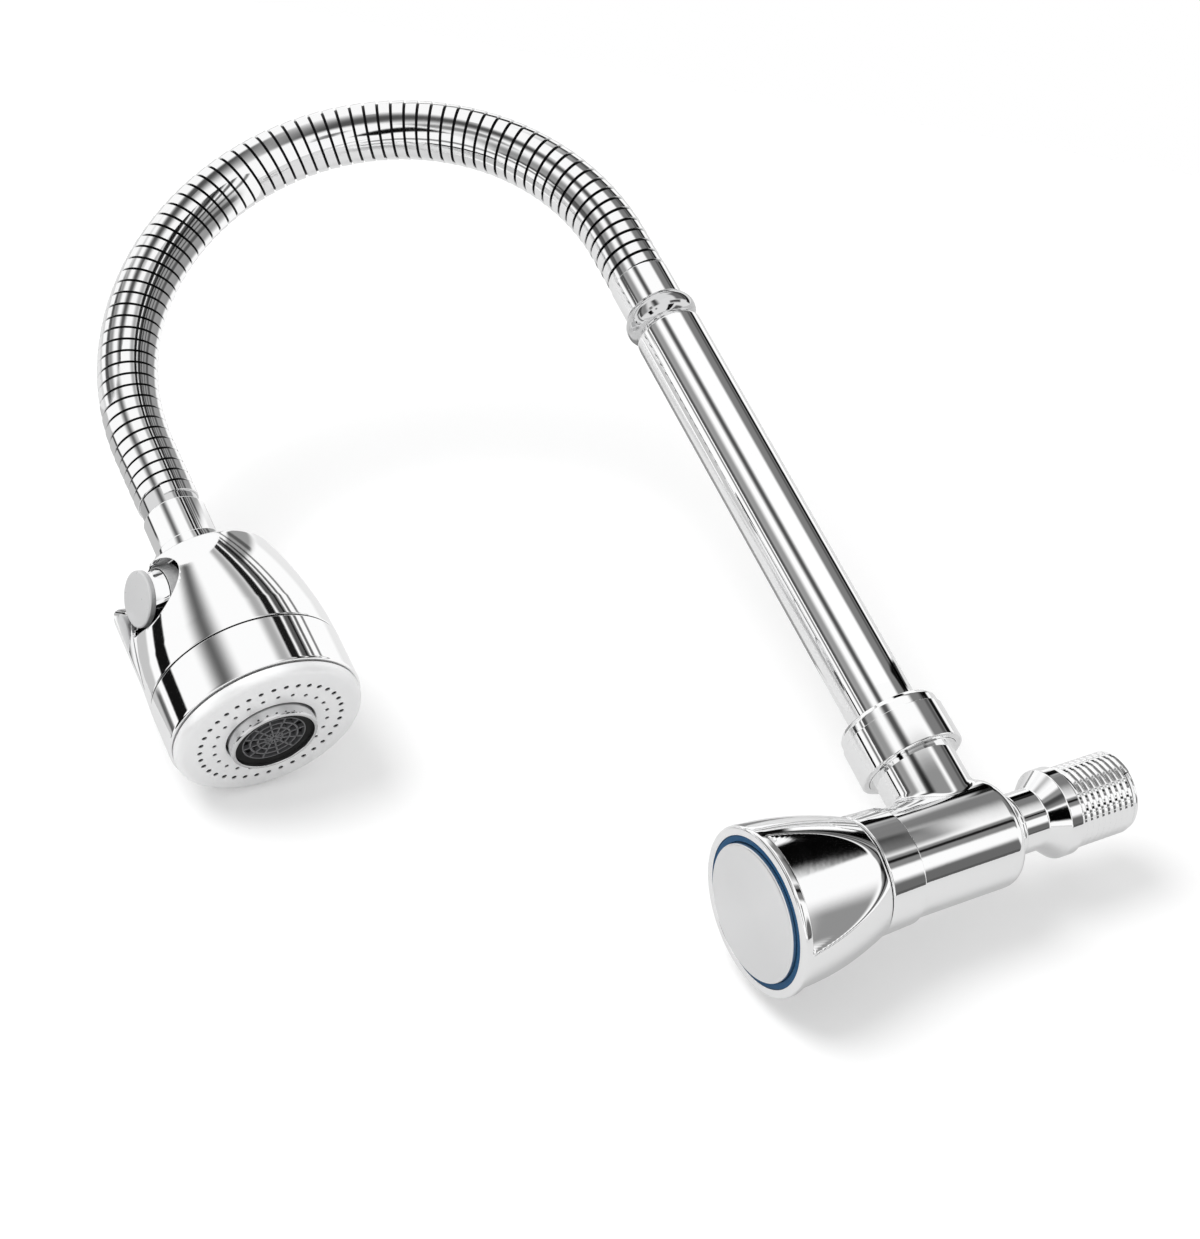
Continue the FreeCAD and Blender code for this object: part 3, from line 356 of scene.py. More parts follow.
def makeSmudges():
    # faint wipe marks and dried drops that dull a polished surface here and there
    w, given, end = newGroup("smudges", "Shader", {"Float": ("Roughness", "Wipe", "Scale", "Drops")},
                             {"Float": ("Roughness", "Height")})
    place = w.take("ShaderNodeTexCoord", output="Object")
    cloud = w.take("ShaderNodeTexNoise", {"Vector": place, "Scale": given["Scale"],
                                          "Detail": 4.0, "Roughness": 0.6})
    fine = w.take("ShaderNodeTexNoise", {"Vector": place, "Scale": 900.0, "Detail": 2.0})
    cells = w.add("ShaderNodeTexVoronoi", {"Vector": place, "Scale": 160.0}, feature="F1").outputs
    drop = w.ramp(cells["Distance"], 0.08, 0.14, 1, 0)
    keep = w.ramp(w.add("ShaderNodeSeparateColor", {0: cells["Color"]}), 0.93, 0.95)
    wiped = w.ramp(cloud, 0.50, 0.72) * given["Wipe"] * (0.6 + fine)
    w.feed(end["Roughness"], given["Roughness"] + wiped + drop * keep * given["Drops"])
    w.feed(end["Height"], cloud + fine * 0.05)
    return w.tree


def makeGrain():
    # fine moulded or cast grain with slow colour drift
    w, given, end = newGroup("grain", "Shader", {"Color": ("Colour",), "Float": ("Drift", "Roughness")},
                             {"Color": ("Colour",), "Float": ("Roughness", "Height")})
    place = w.take("ShaderNodeTexCoord", output="Object")
    slow, fine = [w.take("ShaderNodeTexNoise", {"Vector": place, "Scale": scale, "Detail": 3.0})
                  for scale in (90.0, 900.0)]
    swing = 1 + (slow - 0.5) * given["Drift"]
    w.feed(end["Colour"], w.add("ShaderNodeHueSaturation", {"Color": given["Colour"], "Value": swing}))
    w.feed(end["Roughness"], given["Roughness"] + (fine - 0.5) * 0.12)
    w.feed(end["Height"], fine)
    return w.tree


smudges = makeSmudges()
grain = makeGrain()
dentDepth = 0.00002


def newMaterial(name, group, settings, **sockets):
    # a shader whose roughness comes from one of the groups
    w = emptied(bpy.data.materials.new(name))
    skin = w.add("ShaderNodeGroup", settings, node_tree=group).outputs
    sockets = {key.replace("_", " "): value for key, value in sockets.items()}
    surface = w.add("ShaderNodeBsdfPrincipled", {"Roughness": skin["Roughness"], **sockets})
    w.add("ShaderNodeOutputMaterial", {"Surface": surface})
    return w, skin, surface.inputs


def dented(w, skin, inputs):
    w.feed(inputs["Normal"], w.add("ShaderNodeBump", {"Strength": 1.0, "Distance": dentDepth,
                                                      "Height": skin["Height"]}))


def metal(name, colour, rough, wipe, scale, drops=0.0):
    settings = {"Roughness": rough, "Wipe": wipe, "Scale": scale, "Drops": drops}
    return newMaterial(name, smudges, settings, Base_Color=(*colour, 1), Metallic=1)


def plated(name, colour, rough, wipe=0.02):
    dented(*metal(name, colour, rough, wipe, 60.0, 0.02))


def grooved(name, colour, rough):
    # bright strip whose seams, marked on the mesh, are full of shade
    w, skin, inputs = metal(name, colour, rough, 0.05, 110.0)
    shade = w.ramp(w.take("ShaderNodeAttribute", output="Fac", attribute_name="groove"), 0.35, 0.95)
    tone = w.add("ShaderNodeMix", {0: shade, 6: (*colour, 1), 7: (0.012, 0.012, 0.013, 1)}, data_type="RGBA")
    w.feed(inputs["Base Color"], tone.outputs[2])
    w.feed(inputs["Roughness"], w.math("ADD", skin["Roughness"], shade * 0.4))


def spun(name, colour, rough):
    # turned metal: fine rings round the middle of the piece draw the light out into rays
    w, _, inputs = metal(name, colour, rough, 0.03, 40.0)
    w.feed(inputs["Anisotropic"], 0.75)
    w.feed(inputs["Tangent"], w.add("ShaderNodeTangent", direction_type="RADIAL", axis="Y"))


def moulded(name, colour, rough, metallic=0.0, drift=0.08, shine=0.5):
    settings = {"Colour": (*colour, 1), "Drift": drift, "Roughness": rough}
    w, skin, inputs = newMaterial(name, grain, settings, Metallic=metallic, Specular_IOR_Level=shine)
    w.feed(inputs["Base Color"], skin["Colour"])
    dented(w, skin, inputs)


# finishes: kind, slot, colour, roughness, and what else the kind takes
finishPlans = {
    "chromedBrass": (plated, "chromed_brass", (0.95, 0.951, 0.953), 0.035, {}),
    "chromedPlastic": (plated, "chromed_plastic", (0.945, 0.946, 0.948), 0.045, {}),
    "hoseSteel": (grooved, "hose_steel", (0.92, 0.921, 0.923), 0.07, {}),
    "spunCap": (spun, "spun_cap", (0.86, 0.862, 0.865), 0.30, {}),
    "coldBlue": (moulded, "cold_blue", (0.004, 0.072, 0.178), 0.35, {"drift": 0.12, "shine": 0.15}),
    "satinGrey": (moulded, "satin_grey", (0.94, 0.942, 0.945), 0.34, {"metallic": 0.25}),
    "capGrey": (moulded, "satin_grey", (0.62, 0.622, 0.625), 0.30, {"metallic": 0.3}),
    "bareSteel": (plated, "chromed_brass", (0.66, 0.661, 0.665), 0.06, {}),
    "bareBrass": (plated, "bare_brass", (0.80, 0.62, 0.30), 0.22, {"wipe": 0.10}),
    "springSteel": (plated, "spring_steel", (0.60, 0.60, 0.61), 0.25, {}),
    "hoseRubber": (moulded, "hose_rubber", (0.012, 0.012, 0.012), 0.6, {"shine": 0.2}),
    "sealRubber": (moulded, "seal_rubber", (0.02, 0.02, 0.022), 0.55, {}),
    "ceramic": (moulded, "ceramic", (0.82, 0.80, 0.76), 0.18, {}),
    "slipNylon": (moulded, "slip_nylon", (0.78, 0.78, 0.74), 0.35, {}),
    "innerPlastic": (moulded, "inner_plastic", (0.03, 0.03, 0.032), 0.45, {}),
    "blackPlastic": (moulded, "black_plastic", (0.006, 0.006, 0.006), 0.6, {"shine": 0.15}),
    "strainerGrey": (moulded, "black_plastic", (0.13, 0.13, 0.135), 0.35, {"shine": 0.25}),
}
for name, (make, slot, colour, rough, more) in finishPlans.items():
    make(name, colour, rough, **more)
finishes = {name: bpy.data.materials[name] for name in finishPlans}
print("finishes made")


def plainMesh(name, shape):
    # the shape as a mesh; what is a mesh already stays as it is
    if not isinstance(shape, bmesh.types.BMesh):
        return shape
    mesh = bpy.data.meshes.new(name)
    shape.to_mesh(mesh)
    shape.free()
    return mesh


def settled(thing):
    # the mesh that an object's modifiers leave
    bpy.context.view_layer.update()
    return bpy.data.meshes.new_from_object(thing.evaluated_get(bpy.context.evaluated_depsgraph_get()))


def addPiece(name, shape, place, finish, body, nodes=(), sharp=25):
    mesh = plainMesh(name, shape)
    mesh.transform(place)
    mesh.name = name
    mesh.shade_smooth()
    mesh.set_sharp_from_angle(angle=radians(sharp))
    mesh.materials.clear()
    mesh.materials.append(finishes[finish])
    piece = linked(name, mesh)
    if body:
        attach(piece, body)
    if nodes:
        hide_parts(*nodes)
    return piece


def arcPoints(start, end, radius, bulge=1, count=20):
    # points inside a circle arc that swells to the right of the way from start to end
    start, end = Vector(start), Vector(end)
    half = (end - start) / 2
    outward = Vector((half.y, -half.x)).normalized() * bulge
    centre = start + half - outward * sqrt(max(radius ** 2 - half.length_squared, 0))
    first = atan2(start.y - centre.y, start.x - centre.x)
    sweep = atan2(end.y - centre.y, end.x - centre.x) - first
    sweep = (sweep + pi) % (2 * pi) - pi
    return [(centre.x + radius * cos(first + sweep * k / count),
             centre.y + radius * sin(first + sweep * k / count)) for k in range(1, count)]


def softOutline(corners, hold=0.12):
    # rounds the corners that name a radius; a short edge beside each arc keeps the flats flat
    outline = []
    for k, corner in enumerate(corners):
        here = Vector(corner[:2])
        if len(corner) == 2:
            outline.append(tuple(here))
            continue
        before = Vector(corners[k - 1][:2]) - here
        after = Vector(corners[(k + 1) % len(corners)][:2]) - here
        turn = pi - before.angle(after)
        reach = corner[2] * tan(turn / 2)
        inward = (before.normalized() + after.normalized()).normalized()
        centre = here + inward * corner[2] / cos(turn / 2)
        first, last = before.normalized() * reach + here, after.normalized() * reach + here
        if before.length > reach + 3 * hold:
            outline.append(tuple(first + before.normalized() * hold))
        steps = max(3, round(degrees(turn) / 9))
        arm, end = first - centre, last - centre
        sweep = atan2(arm.x * end.y - arm.y * end.x, arm.dot(end))
        for i in range(steps + 1):
            c, s = cos(sweep * i / steps), sin(sweep * i / steps)
            outline.append((centre.x + arm.x * c - arm.y * s, centre.y + arm.x * s + arm.y * c))
        if after.length > reach + 3 * hold:
            outline.append(tuple(last + after.normalized() * hold))
    return outline


def skinned(rings, closed=True):
    # joins rings of points with faces; a ring of one point is a pole
    shape = bmesh.new()
    made = [[shape.verts.new(point) for point in ring] for ring in rings]
    for k in range(len(made) if closed else len(made) - 1):
        low, high = made[k], made[(k + 1) % len(made)]
        count = max(len(low), len(high))
        for i in range(count if count > 1 else 0):
            j = (i + 1) % count
            corners = [low[i % len(low)], low[j % len(low)], high[j % len(high)], high[i % len(high)]]
            corners = [v for n, v in enumerate(corners) if v is not corners[n - 1]]
            if len(corners) > 2:
                shape.faces.new(corners)
    bmesh.ops.recalc_face_normals(shape, faces=shape.faces)
    return shape


def ring(radius, height, columns):
    return [(radius * cos(2 * pi * k / columns), radius * sin(2 * pi * k / columns), height)
            for k in range(columns if radius > 1e-6 else 1)]


def lathe(corners, columns=160):
    return skinned([ring(radius, height, columns) for radius, height in softOutline(corners)])


def turned(name, place, finish, body, nodes, corners, columns=160, sharp=25):
    addPiece(name, lathe(corners, columns), place, finish, body, nodes, sharp)


def carve(shape, tool, operation="DIFFERENCE"):
    # takes one closed shape out of another, or keeps what they share
    pair = [linked("carving", plainMesh("carving", part)) for part in (shape, tool)]
    modifier = pair[0].modifiers.new("carving", "BOOLEAN")
    modifier.operation, modifier.solver, modifier.object = operation, "EXACT", pair[1]
    mesh = settled(pair[0])
    for part in pair:
        bpy.data.objects.remove(part)
    return joined(mesh)


def joined(*shapes):
    whole = bmesh.new()
    for shape in shapes:
        mesh = plainMesh("joining", shape)
        whole.from_mesh(mesh)
        bpy.data.meshes.remove(mesh)
    return whole


def softEdges(shape, width, angle=40, steps=2):
    bmesh.ops.remove_doubles(shape, verts=shape.verts, dist=1e-4)
    edges = [e for e in shape.edges if len(e.link_faces) == 2
             and e.calc_face_angle(0) > radians(angle)]
    bmesh.ops.bevel(shape, geom=edges, offset=width, segments=steps, profile=0.5,
                    affect="EDGES", clamp_overlap=True)
    return shape


def newShape(name, counts, lengths):
    # a geometry tree with counts, lengths and a finish as inputs
    return newGroup(name, "Geometry", {"Geometry": ["Geometry"], "Int": counts, "Float": lengths,
                                       "Material": ["Material"]}, {"Geometry": ["Geometry"]})


def closeShape(w, given, end, geometry):
    real = w.add("GeometryNodeRealizeInstances", {"Geometry": geometry})
    w.feed(end[0], w.add("GeometryNodeSetMaterial", {"Geometry": real, "Material": given["Material"]}))
    return w.tree


def evaluated(name, tree, **values):
    # runs a tree on an empty mesh and gives the plain mesh that comes out
    holder = linked(name, bpy.data.meshes.new(name))
    modifier = holder.modifiers.new(name, "NODES")
    modifier.node_group = tree
    wanted = {key.lower(): value for key, value in values.items()}
    for item in tree.interface.items_tree:
        key = item.name.replace(" ", "").lower()
        if item.in_out == "INPUT" and key in wanted:
            modifier[item.identifier] = wanted[key]
    mesh = settled(holder)
    bpy.data.objects.remove(holder)
    return mesh


def ribbedSkinTree():
    # one strip wound round a line that runs up, over a half circle, and then leans aside
    w, given, end = newShape("ribbedSkin", ("First Turn", "Turns", "Rows Per Turn", "Columns", "Notches"), (
        "Start", "Pitch", "Crest Radius", "Groove Radius", "Arch Radius", "Arch Height", "Lean Radius",
        "Flank", "Gap", "Taper", "Crown", "Notch Depth"))
    turns, gap, flank = given["Turns"], given["Gap"], given["Flank"]
    groove, bend, leaning = given["Groove Radius"], given["Arch Radius"], given["Lean Radius"]
    grid = w.add("GeometryNodeMeshGrid", {"Size X": 1.0, "Size Y": 1.0, "Vertices Y": given["Columns"] + 1,
                                          "Vertices X": turns * given["Rows Per Turn"] + 1})
    x, y, z = w.axes(w.add("GeometryNodeInputPosition"))
    turn, around = (x + 0.5) * turns + 0.0001, y + 0.5
    even = w.math("FRACT", turn)
    # ten rows per turn: the outer ones lie in the groove, the next climb its walls, the rest are the crest
    half, land, phase = gap * 0.5, 1 - (gap + flank * 2), 0.0
    for low, high, length in ((0, 0.1, half), (0.1, 0.2, flank), (0.2, 0.8, land), (0.8, 0.9, flank),
                              (0.9, 1, half)):
        phase = phase + w.line(even, low, high) * length
    run = given["Start"] + given["Pitch"] * (w.math("FLOOR", turn) + phase + given["First Turn"] + around)
    lift = w.math("MINIMUM", w.line(even, 0.105, 0.195), w.line(even, 0.895, 0.805))
    middle = phase - 0.5
    slope = 1 - given["Taper"] * (middle + 0.5)
    swell = given["Crown"] * (1 - 4 * (middle * middle))
    angle = around * (2 * pi)
    bite = w.ramp(w.math("COSINE", angle * given["Notches"]), 0.45, 0.95) * given["Notch Depth"] * lift
    crest = slope * (given["Crest Radius"] - groove) + (swell - given["Crown"])
    radius = groove + lift * crest - bite
    curl = w.math("MINIMUM", w.math("MAXIMUM", run / bend, 0), pi)
    lean = w.math("MAXIMUM", run - bend * pi, 0) / leaning
    arm = bend + radius * w.math("SINE", angle)
    x = radius * w.math("COSINE", angle) - leaning
    y = arm * w.math("COSINE", curl) - bend
    z = (arm * w.math("SINE", curl) + (given["Arch Height"] + w.math("MINIMUM", run, 0))
         + x * w.math("SINE", lean))
    spot = w.vector(leaning + x * w.math("COSINE", lean), y, z)
    # marked first, since the fields read the flat grid
    marked = w.add("GeometryNodeStoreNamedAttribute", {"Geometry": grid, "Name": "groove", "Value": 1 - lift},
                   data_type="FLOAT", domain="POINT")
    moved = w.add("GeometryNodeSetPosition", {"Geometry": marked, "Position": spot})
    sealed = w.add("GeometryNodeMergeByDistance", {"Geometry": moved, "Distance": 0.004})
    return closeShape(w, given, end, sealed)


def nozzleRingTree():
    # a circle of small round pins: the tools that pierce the face plate, and the dark rubber in the holes
    w, given, end = newShape("nozzleRing", ("Count", "Sides"), ("Ring Radius", "Pin Radius", "Low", "High"))
    low, high = given["Low"], given["High"]
    circle = w.add("GeometryNodeMeshCircle", {"Vertices": given["Count"], "Radius": given["Ring Radius"]})
    pin = w.add("GeometryNodeMeshCylinder", {"Vertices": given["Sides"], "Radius": given["Pin Radius"],
                                             "Depth": high - low})
    level = w.vector(z=(high + low) * 0.5)
    lifted = w.add("GeometryNodeTransform", {"Geometry": circle, "Translation": level})
    placed = w.add("GeometryNodeInstanceOnPoints", {"Points": lifted, "Instance": pin})
    return closeShape(w, given, end, placed)


def strainerTree():
    # rings joined by spokes, all from one flat strip section
    w, given, end = newShape("strainer", ("Rings", "Spokes"), ("Outer Radius", "Step", "Wall", "Height"))
    number = w.take("GeometryNodeInputIndex")

    def repeated(count, curve, **change):
        points = w.add("GeometryNodeMeshLine", {"Count": count, "Start Location": (0, 0, 0),
                                                "Offset": (0, 0, 0)})
        return w.add("GeometryNodeInstanceOnPoints", {"Points": points, "Instance": curve, **change})

    circle = w.add("GeometryNodeCurvePrimitiveCircle", {"Resolution": 72, "Radius": 1.0})
    reach = given["Outer Radius"] - number * given["Step"]
    spoke = w.add("GeometryNodeCurvePrimitiveLine", {"Start": (0.4, 0, 0),
                                                     "End": w.vector(given["Outer Radius"])})
    swing = number * w.math("DIVIDE", 2 * pi, given["Spokes"])
    both = w.add("GeometryNodeJoinGeometry")
    w.feed(both.inputs[0], repeated(given["Rings"], circle, Scale=w.vector(reach, reach, reach)))
    w.feed(both.inputs[0], repeated(given["Spokes"], spoke, Rotation=w.vector(z=swing)))
    curves = w.add("GeometryNodeRealizeInstances", {"Geometry": both})
    strip = w.add("GeometryNodeCurvePrimitiveQuadrilateral", {0: given["Wall"], 1: given["Height"]})
    solid = w.add("GeometryNodeCurveToMesh", {"Curve": curves, "Profile Curve": strip, "Fill Caps": True})
    return closeShape(w, given, end, solid)


ribbedSkin, nozzleRing, strainer = ribbedSkinTree(), nozzleRingTree(), strainerTree()
print("trees built")

barrel = {
    "threadEnd": -48.2, "threadRoot": 9.3, "flange": -30.0, "flangeFront": -26.4, "flangeRadius": 11.3,
    "neck": 7.75, "coneTop": -22.2, "bead": -14.2, "beadRadius": 1.32, "beadHalf": 1.25,
    "tail": -11.5, "radius": 13.7, "shoulder": 3.2, "front": 19.6, "bore": 6.2, "nose": 10.0, "cavity": 10.3,
    "cavityFloor": -4.0, "bossRadius": 10.7, "bossTop": 22.6, "fillet": 2.0, "columns": 192,
    "spigot": ((8.6, 30.0), (11.6, 30.0), (11.9, 29.7), (11.9, 22.61)), "spigotFoot": (8.8, 5.0),
}


def barrelPoint(point, lift=0.0):
    # the nearest spot of the barrel's skin, the rounded shoulder at its tail included
    s = barrel
    edge = s["tail"] + s["shoulder"]
    flat = Vector((point.x, point.y, 0)).normalized()
    if point.z > edge:
        return flat * (s["radius"] + lift) + Vector((0, 0, point.z))
    core = flat * (s["radius"] - s["shoulder"]) + Vector((0, 0, edge))
    return core + (point - core).normalized() * (s["shoulder"] + lift)


def bossColumn(angle):
    # a ball rolled between boss and barrel gives the fillet; the foot dips just under the skin
    s = barrel
    edge, ball = s["tail"] + s["shoulder"], s["fillet"]
    x, z = (s["bossRadius"] + ball) * cos(angle), (s["bossRadius"] + ball) * sin(angle)
    reach = s["radius"] + ball
    if z < edge:
        reach = s["radius"] - s["shoulder"] + sqrt((s["shoulder"] + ball) ** 2 - (z - edge) ** 2)
    centre = Vector((x, sqrt(reach ** 2 - x ** 2), z))
    top = Vector((s["bossRadius"] * cos(angle), centre.y, s["bossRadius"] * sin(angle)))
    foot = barrelPoint(centre)
    up, down = (top - centre) / ball, (foot - centre) / ball
    sweep = up.angle(down)
    side = (down - up * cos(sweep)) / sin(sweep)
    points = [top + Vector((0, (s["bossTop"] - top.y) * k, 0)) for k in (1, 0.96, 0.5, 0.03)]
    points += [centre + (up * cos(sweep * k / 10) + side * sin(sweep * k / 10)) * ball
               for k in range(11)]
    onward = side * cos(sweep) - up * sin(sweep)
    points.append(barrelPoint(foot + onward * 0.6, -0.01))
    points.append(barrelPoint(foot + onward * 0.8, -0.5))
    return points


def valveBody():
    s = barrel
    low, high = [(s["neck"], s["bead"] + half) for half in (-s["beadHalf"], s["beadHalf"])]
    casting = lathe([
        (s["bore"], s["threadEnd"]), (s["nose"], s["threadEnd"], 0.5),
        (s["nose"], s["threadEnd"] + 0.9, 0.2), (s["threadRoot"], s["threadEnd"] + 1.3),
        (s["threadRoot"], s["flange"] - 0.01),
        (s["flangeRadius"], s["flange"], 0.35), (s["flangeRadius"], s["flangeFront"], 0.4),
        (s["neck"], s["coneTop"], 0.5), low, *arcPoints(low, high, s["beadRadius"], 1, 12), high,
        (s["neck"], s["tail"], 0.5), (s["radius"], s["tail"], s["shoulder"]), (s["radius"], s["front"], 0.25),
        (s["cavity"], s["front"]), (s["cavity"], s["cavityFloor"]), (s["bore"], s["cavityFloor"])],
        s["columns"])

    def lying(radius, height):
        return [(x, height, z) for x, z, _ in ring(radius, 0, s["columns"])]

    rings = [lying(*spot) for spot in s["spigot"]]
    rings += list(zip(*[bossColumn(2 * pi * k / s["columns"]) for k in range(s["columns"])]))
    rings.append(lying(*s["spigotFoot"]))
    addPiece("valveCasting", joined(casting, skinned(rings)), valvePlace, "chromedBrass", "valve",
             ["valve_body"])


thread = {
    "turns": 9, "start": -48.15, "end": -30.1, "crest": 10.45, "root": 9.55, "notches": 40,
    "notchDepth": 0.03, "rowsPerTurn": 10, "columns": 320, "flank": 0.15, "gap": 0.13, "taper": 0.0,
    "crown": 0.06, "archRadius": 400.0, "archHeight": 300.0, "leanRadius": 500.0,
}


def wound(name, finish, s, start, **more):
    # a strip of ribs with the measures of a dictionary
    same = {key: s[key] for key in ("rowsPerTurn", "columns", "flank", "gap", "taper", "crown")}
    mesh = evaluated(name, ribbedSkin, start=start, pitch=(s["end"] - s["start"]) / (s["turns"] + 1),
                     crestRadius=s["crest"], grooveRadius=s["root"], material=finishes[finish],
                     **same, **more)
    mesh.flip_normals()
    return mesh


def inletThread():
    # the strip's straight part, far below its arch
    s = thread
    mesh = wound("inletThread", "chromedBrass", s, s["start"] - s["archHeight"], firstTurn=0,
                 turns=s["turns"], notches=s["notches"], notchDepth=s["notchDepth"],
                 archRadius=s["archRadius"], archHeight=s["archHeight"], leanRadius=s["leanRadius"])
    addPiece("inletThread", mesh, valvePlace, "chromedBrass", "valve", (), 75)


valveBody()
inletThread()

nut = {"base": 22.9, "top": 37.0, "radius": 13.75, "step": 33.4, "upper": 13.25, "crown": 12.1}


def spoutNut():
    s = nut
    turned("spoutNut", spoutPlace, "chromedBrass", "valve", ["spout_nut"], [
        (12.0, s["base"]), (s["radius"], s["base"], 0.45), (s["radius"] - 0.15, s["step"], 0.15),
        (s["upper"], s["step"] + 0.1, 0.05), (s["upper"] - 0.15, s["top"] - 1.3, 0.8),
        (s["crown"], s["top"], 0.5), (9.25, s["top"], 0.2), (9.25, 33.0), (12.0, 33.0)], 192, 30)


spoutNut()
collar = {"bore": 11.4, "back": 19.62, "backRadius": 14.5, "front": 29.5, "frontRadius": 14.95}
turned("collarRing", valvePlace, "chromedBrass", "valve", ["collar_ring"], [
    (collar["bore"], collar["back"]), (collar["backRadius"], collar["back"], 0.5),
    (collar["frontRadius"], collar["front"], 0.5), (collar["bore"], collar["front"])], 192)
print("valve made")

grip = {
    "back": 29.8, "backRadius": 15.0, "front": 58.6, "rim": 20.9, "step": 56.2, "curve": 95.0,
    "scoops": 3, "scoopTurn": -14.0, "scoopRadius": 24.0, "scoopCentre": 34.4, "scoopLean": 10.51,
    "crease": 1.2, "root": 1.0, "lip": 0.35, "columns": 480, "rows": 72, "bore": 18.6, "seat": 55.6,
}


def gripProfile(height):
    # the knob's turned outline: a long bulging curve, then a straight rim
    s = grip
    low, high = Vector((s["backRadius"], s["back"])), Vector((s["rim"], s["front"] - 2))
    if height >= high.y:
        return s["rim"]
    half = (high - low) / 2
    outward = Vector((half.y, -half.x)).normalized()
    centre = low + half - outward * sqrt(s["curve"] ** 2 - half.length_squared)
    return centre.x + sqrt(s["curve"] ** 2 - (height - centre.y) ** 2)


def gripRadius(angle, height):
    # profile or scoop, whichever is nearer the axis, with a small round where they meet
    s = grip
    span = 2 * pi / s["scoops"]
    away = (angle - radians(s["scoopTurn"]) + span / 2) % span - span / 2
    centre = s["scoopCentre"] + (s["step"] - height) * tan(radians(s["scoopLean"]))
    long = s["scoopRadius"] / cos(radians(s["scoopLean"]))
    a = (cos(away) / long) ** 2 + (sin(away) / s["scoopRadius"]) ** 2
    b = cos(away) * centre / long ** 2
    under = b * b - a * ((centre / long) ** 2 - 1)
    profile = gripProfile(height)
    if under <= 0:
        return profile
    scoop = (b - sqrt(under)) / a
    near = max(s["crease"] - abs(profile - scoop), 0) / s["crease"]
    return min(profile, scoop) - near * near * s["crease"] / 4


def gripColumn(angle):
    s = grip
    low = s["back"] + 0.5
    path = [(9.0, s["back"]), (gripRadius(angle, s["back"]) - 0.5, s["back"]),
            (gripRadius(angle, s["back"]) - 0.12, s["back"] + 0.14)]
    inner, outer = gripRadius(angle, s["step"]), gripProfile(s["step"])
    inner = min(inner, outer)
    shrink = min(1.0, (outer - inner) / (s["root"] + s["lip"]))
    root, lip = s["root"] * shrink, s["lip"] * shrink
    last = s["step"] - root
    heights = [low + (last - low) * k / s["rows"] for k in range(s["rows"] + 1)]
    path += [(gripRadius(angle, height), height) for height in heights]
    for k in range(9):
        turn = pi / 2 * k / 8
        path.append((inner + root * (1 - cos(turn)), s["step"] - root * (1 - sin(turn))))
    path += [(inner + root + (outer - lip - inner - root) * part, s["step"]) for part in (0.04, 0.96)]
    for k in range(5):
        turn = pi / 2 * k / 4
        path.append((outer - lip * (1 - sin(turn)), s["step"] + lip * (1 - cos(turn))))
    path.append((s["rim"], s["step"] + 0.6))
    return path


def knobGrip():
    s = grip
    turns = [2 * pi * k / s["columns"] for k in range(s["columns"])]
    face = softOutline([
        (s["rim"], s["step"] + 0.6), (s["rim"], s["front"], 0.9), (s["bore"], s["front"], 0.3),
        (s["bore"], s["seat"]), (4.6, s["seat"]), (4.6, 46.2), (2.3, 46.2), (2.3, 44.0), (4.0, 44.0),
        (4.0, s["back"])], 0.1)[1:]
    rings = [[(r * cos(turn), r * sin(turn), z) for turn, (r, z) in zip(turns, row)]
             for row in zip(*[gripColumn(turn) for turn in turns])]
    shape = skinned(rings + [ring(r, z, s["columns"]) for r, z in face])
    bmesh.ops.dissolve_degenerate(shape, edges=shape.edges, dist=1e-4)
    addPiece("knobGrip", shape, valvePlace, "chromedPlastic", "handle", ["knob"], 75)


knobGrip()
index = {"seat": 55.62, "inner": 17.05, "outer": 18.57, "front": 58.3, "cap": 16.9, "capFront": 59.6}
turned("coldIndex", valvePlace, "coldBlue", "handle", ["cold_ring"], [
    (index["inner"], index["seat"]), (index["outer"], index["seat"]), (index["outer"], index["front"], 0.2),
    (index["inner"], index["front"], 0.15)], 192)
turned("spunCap", valvePlace, "spunCap", "handle", ["index_cap"], [
    (0, index["seat"]), (index["cap"], index["seat"]), (index["cap"], index["capFront"], 0.5),
    (0, index["capFront"])], 192)
print("knob made")

riser = {"base": 32.6, "top": 161.0, "radius": 9.15, "edge": 1.0, "ferrule": 8.1, "bead": 7.6,
         "beadRound": 3.9, "sleeve": 8.3, "sleeveHeight": 10.0}


def riserPieces():
    s = riser
    turned("riserTube", spoutPlace, "chromedBrass", "spout", ["riser_tube"], [
        (8.0, s["base"]), (s["radius"], s["base"]), (s["radius"], s["top"], s["edge"]), (6.05, s["top"]),
        (6.05, s["top"] - 2), (8.0, s["top"] - 2)], 192)
    low = s["top"] + 0.02
    high = low + s["bead"]
    ends = (s["ferrule"], low + 0.7), (s["ferrule"], high - 0.3)
    turned("upperFerrule", spoutPlace, "bareSteel", "spout", ["upper_ferrule"], [
        (6.15, low), (s["ferrule"], low), ends[0], *arcPoints(*ends, s["beadRound"], 1, 24), ends[1],
        (s["ferrule"], high), (6.15, high)], 192, 60)
    base = high + 0.02
    top = base + s["sleeveHeight"]
    turned("hoseSleeve", spoutPlace, "chromedBrass", "spout", ["hose_sleeve"], [
        (7.15, base), (s["sleeve"], base), (s["sleeve"], top, 0.35), (7.15, top)])


riserPieces()
print("riser made")

hose = {
    "start": -16.3, "end": 238.6, "turns": 69, "crest": 8.17, "root": 7.35, "links": 8,
    "rowsPerTurn": 10, "columns": 72, "flank": 0.035, "gap": 0.145, "taper": 0.20, "crown": 0.0,
}


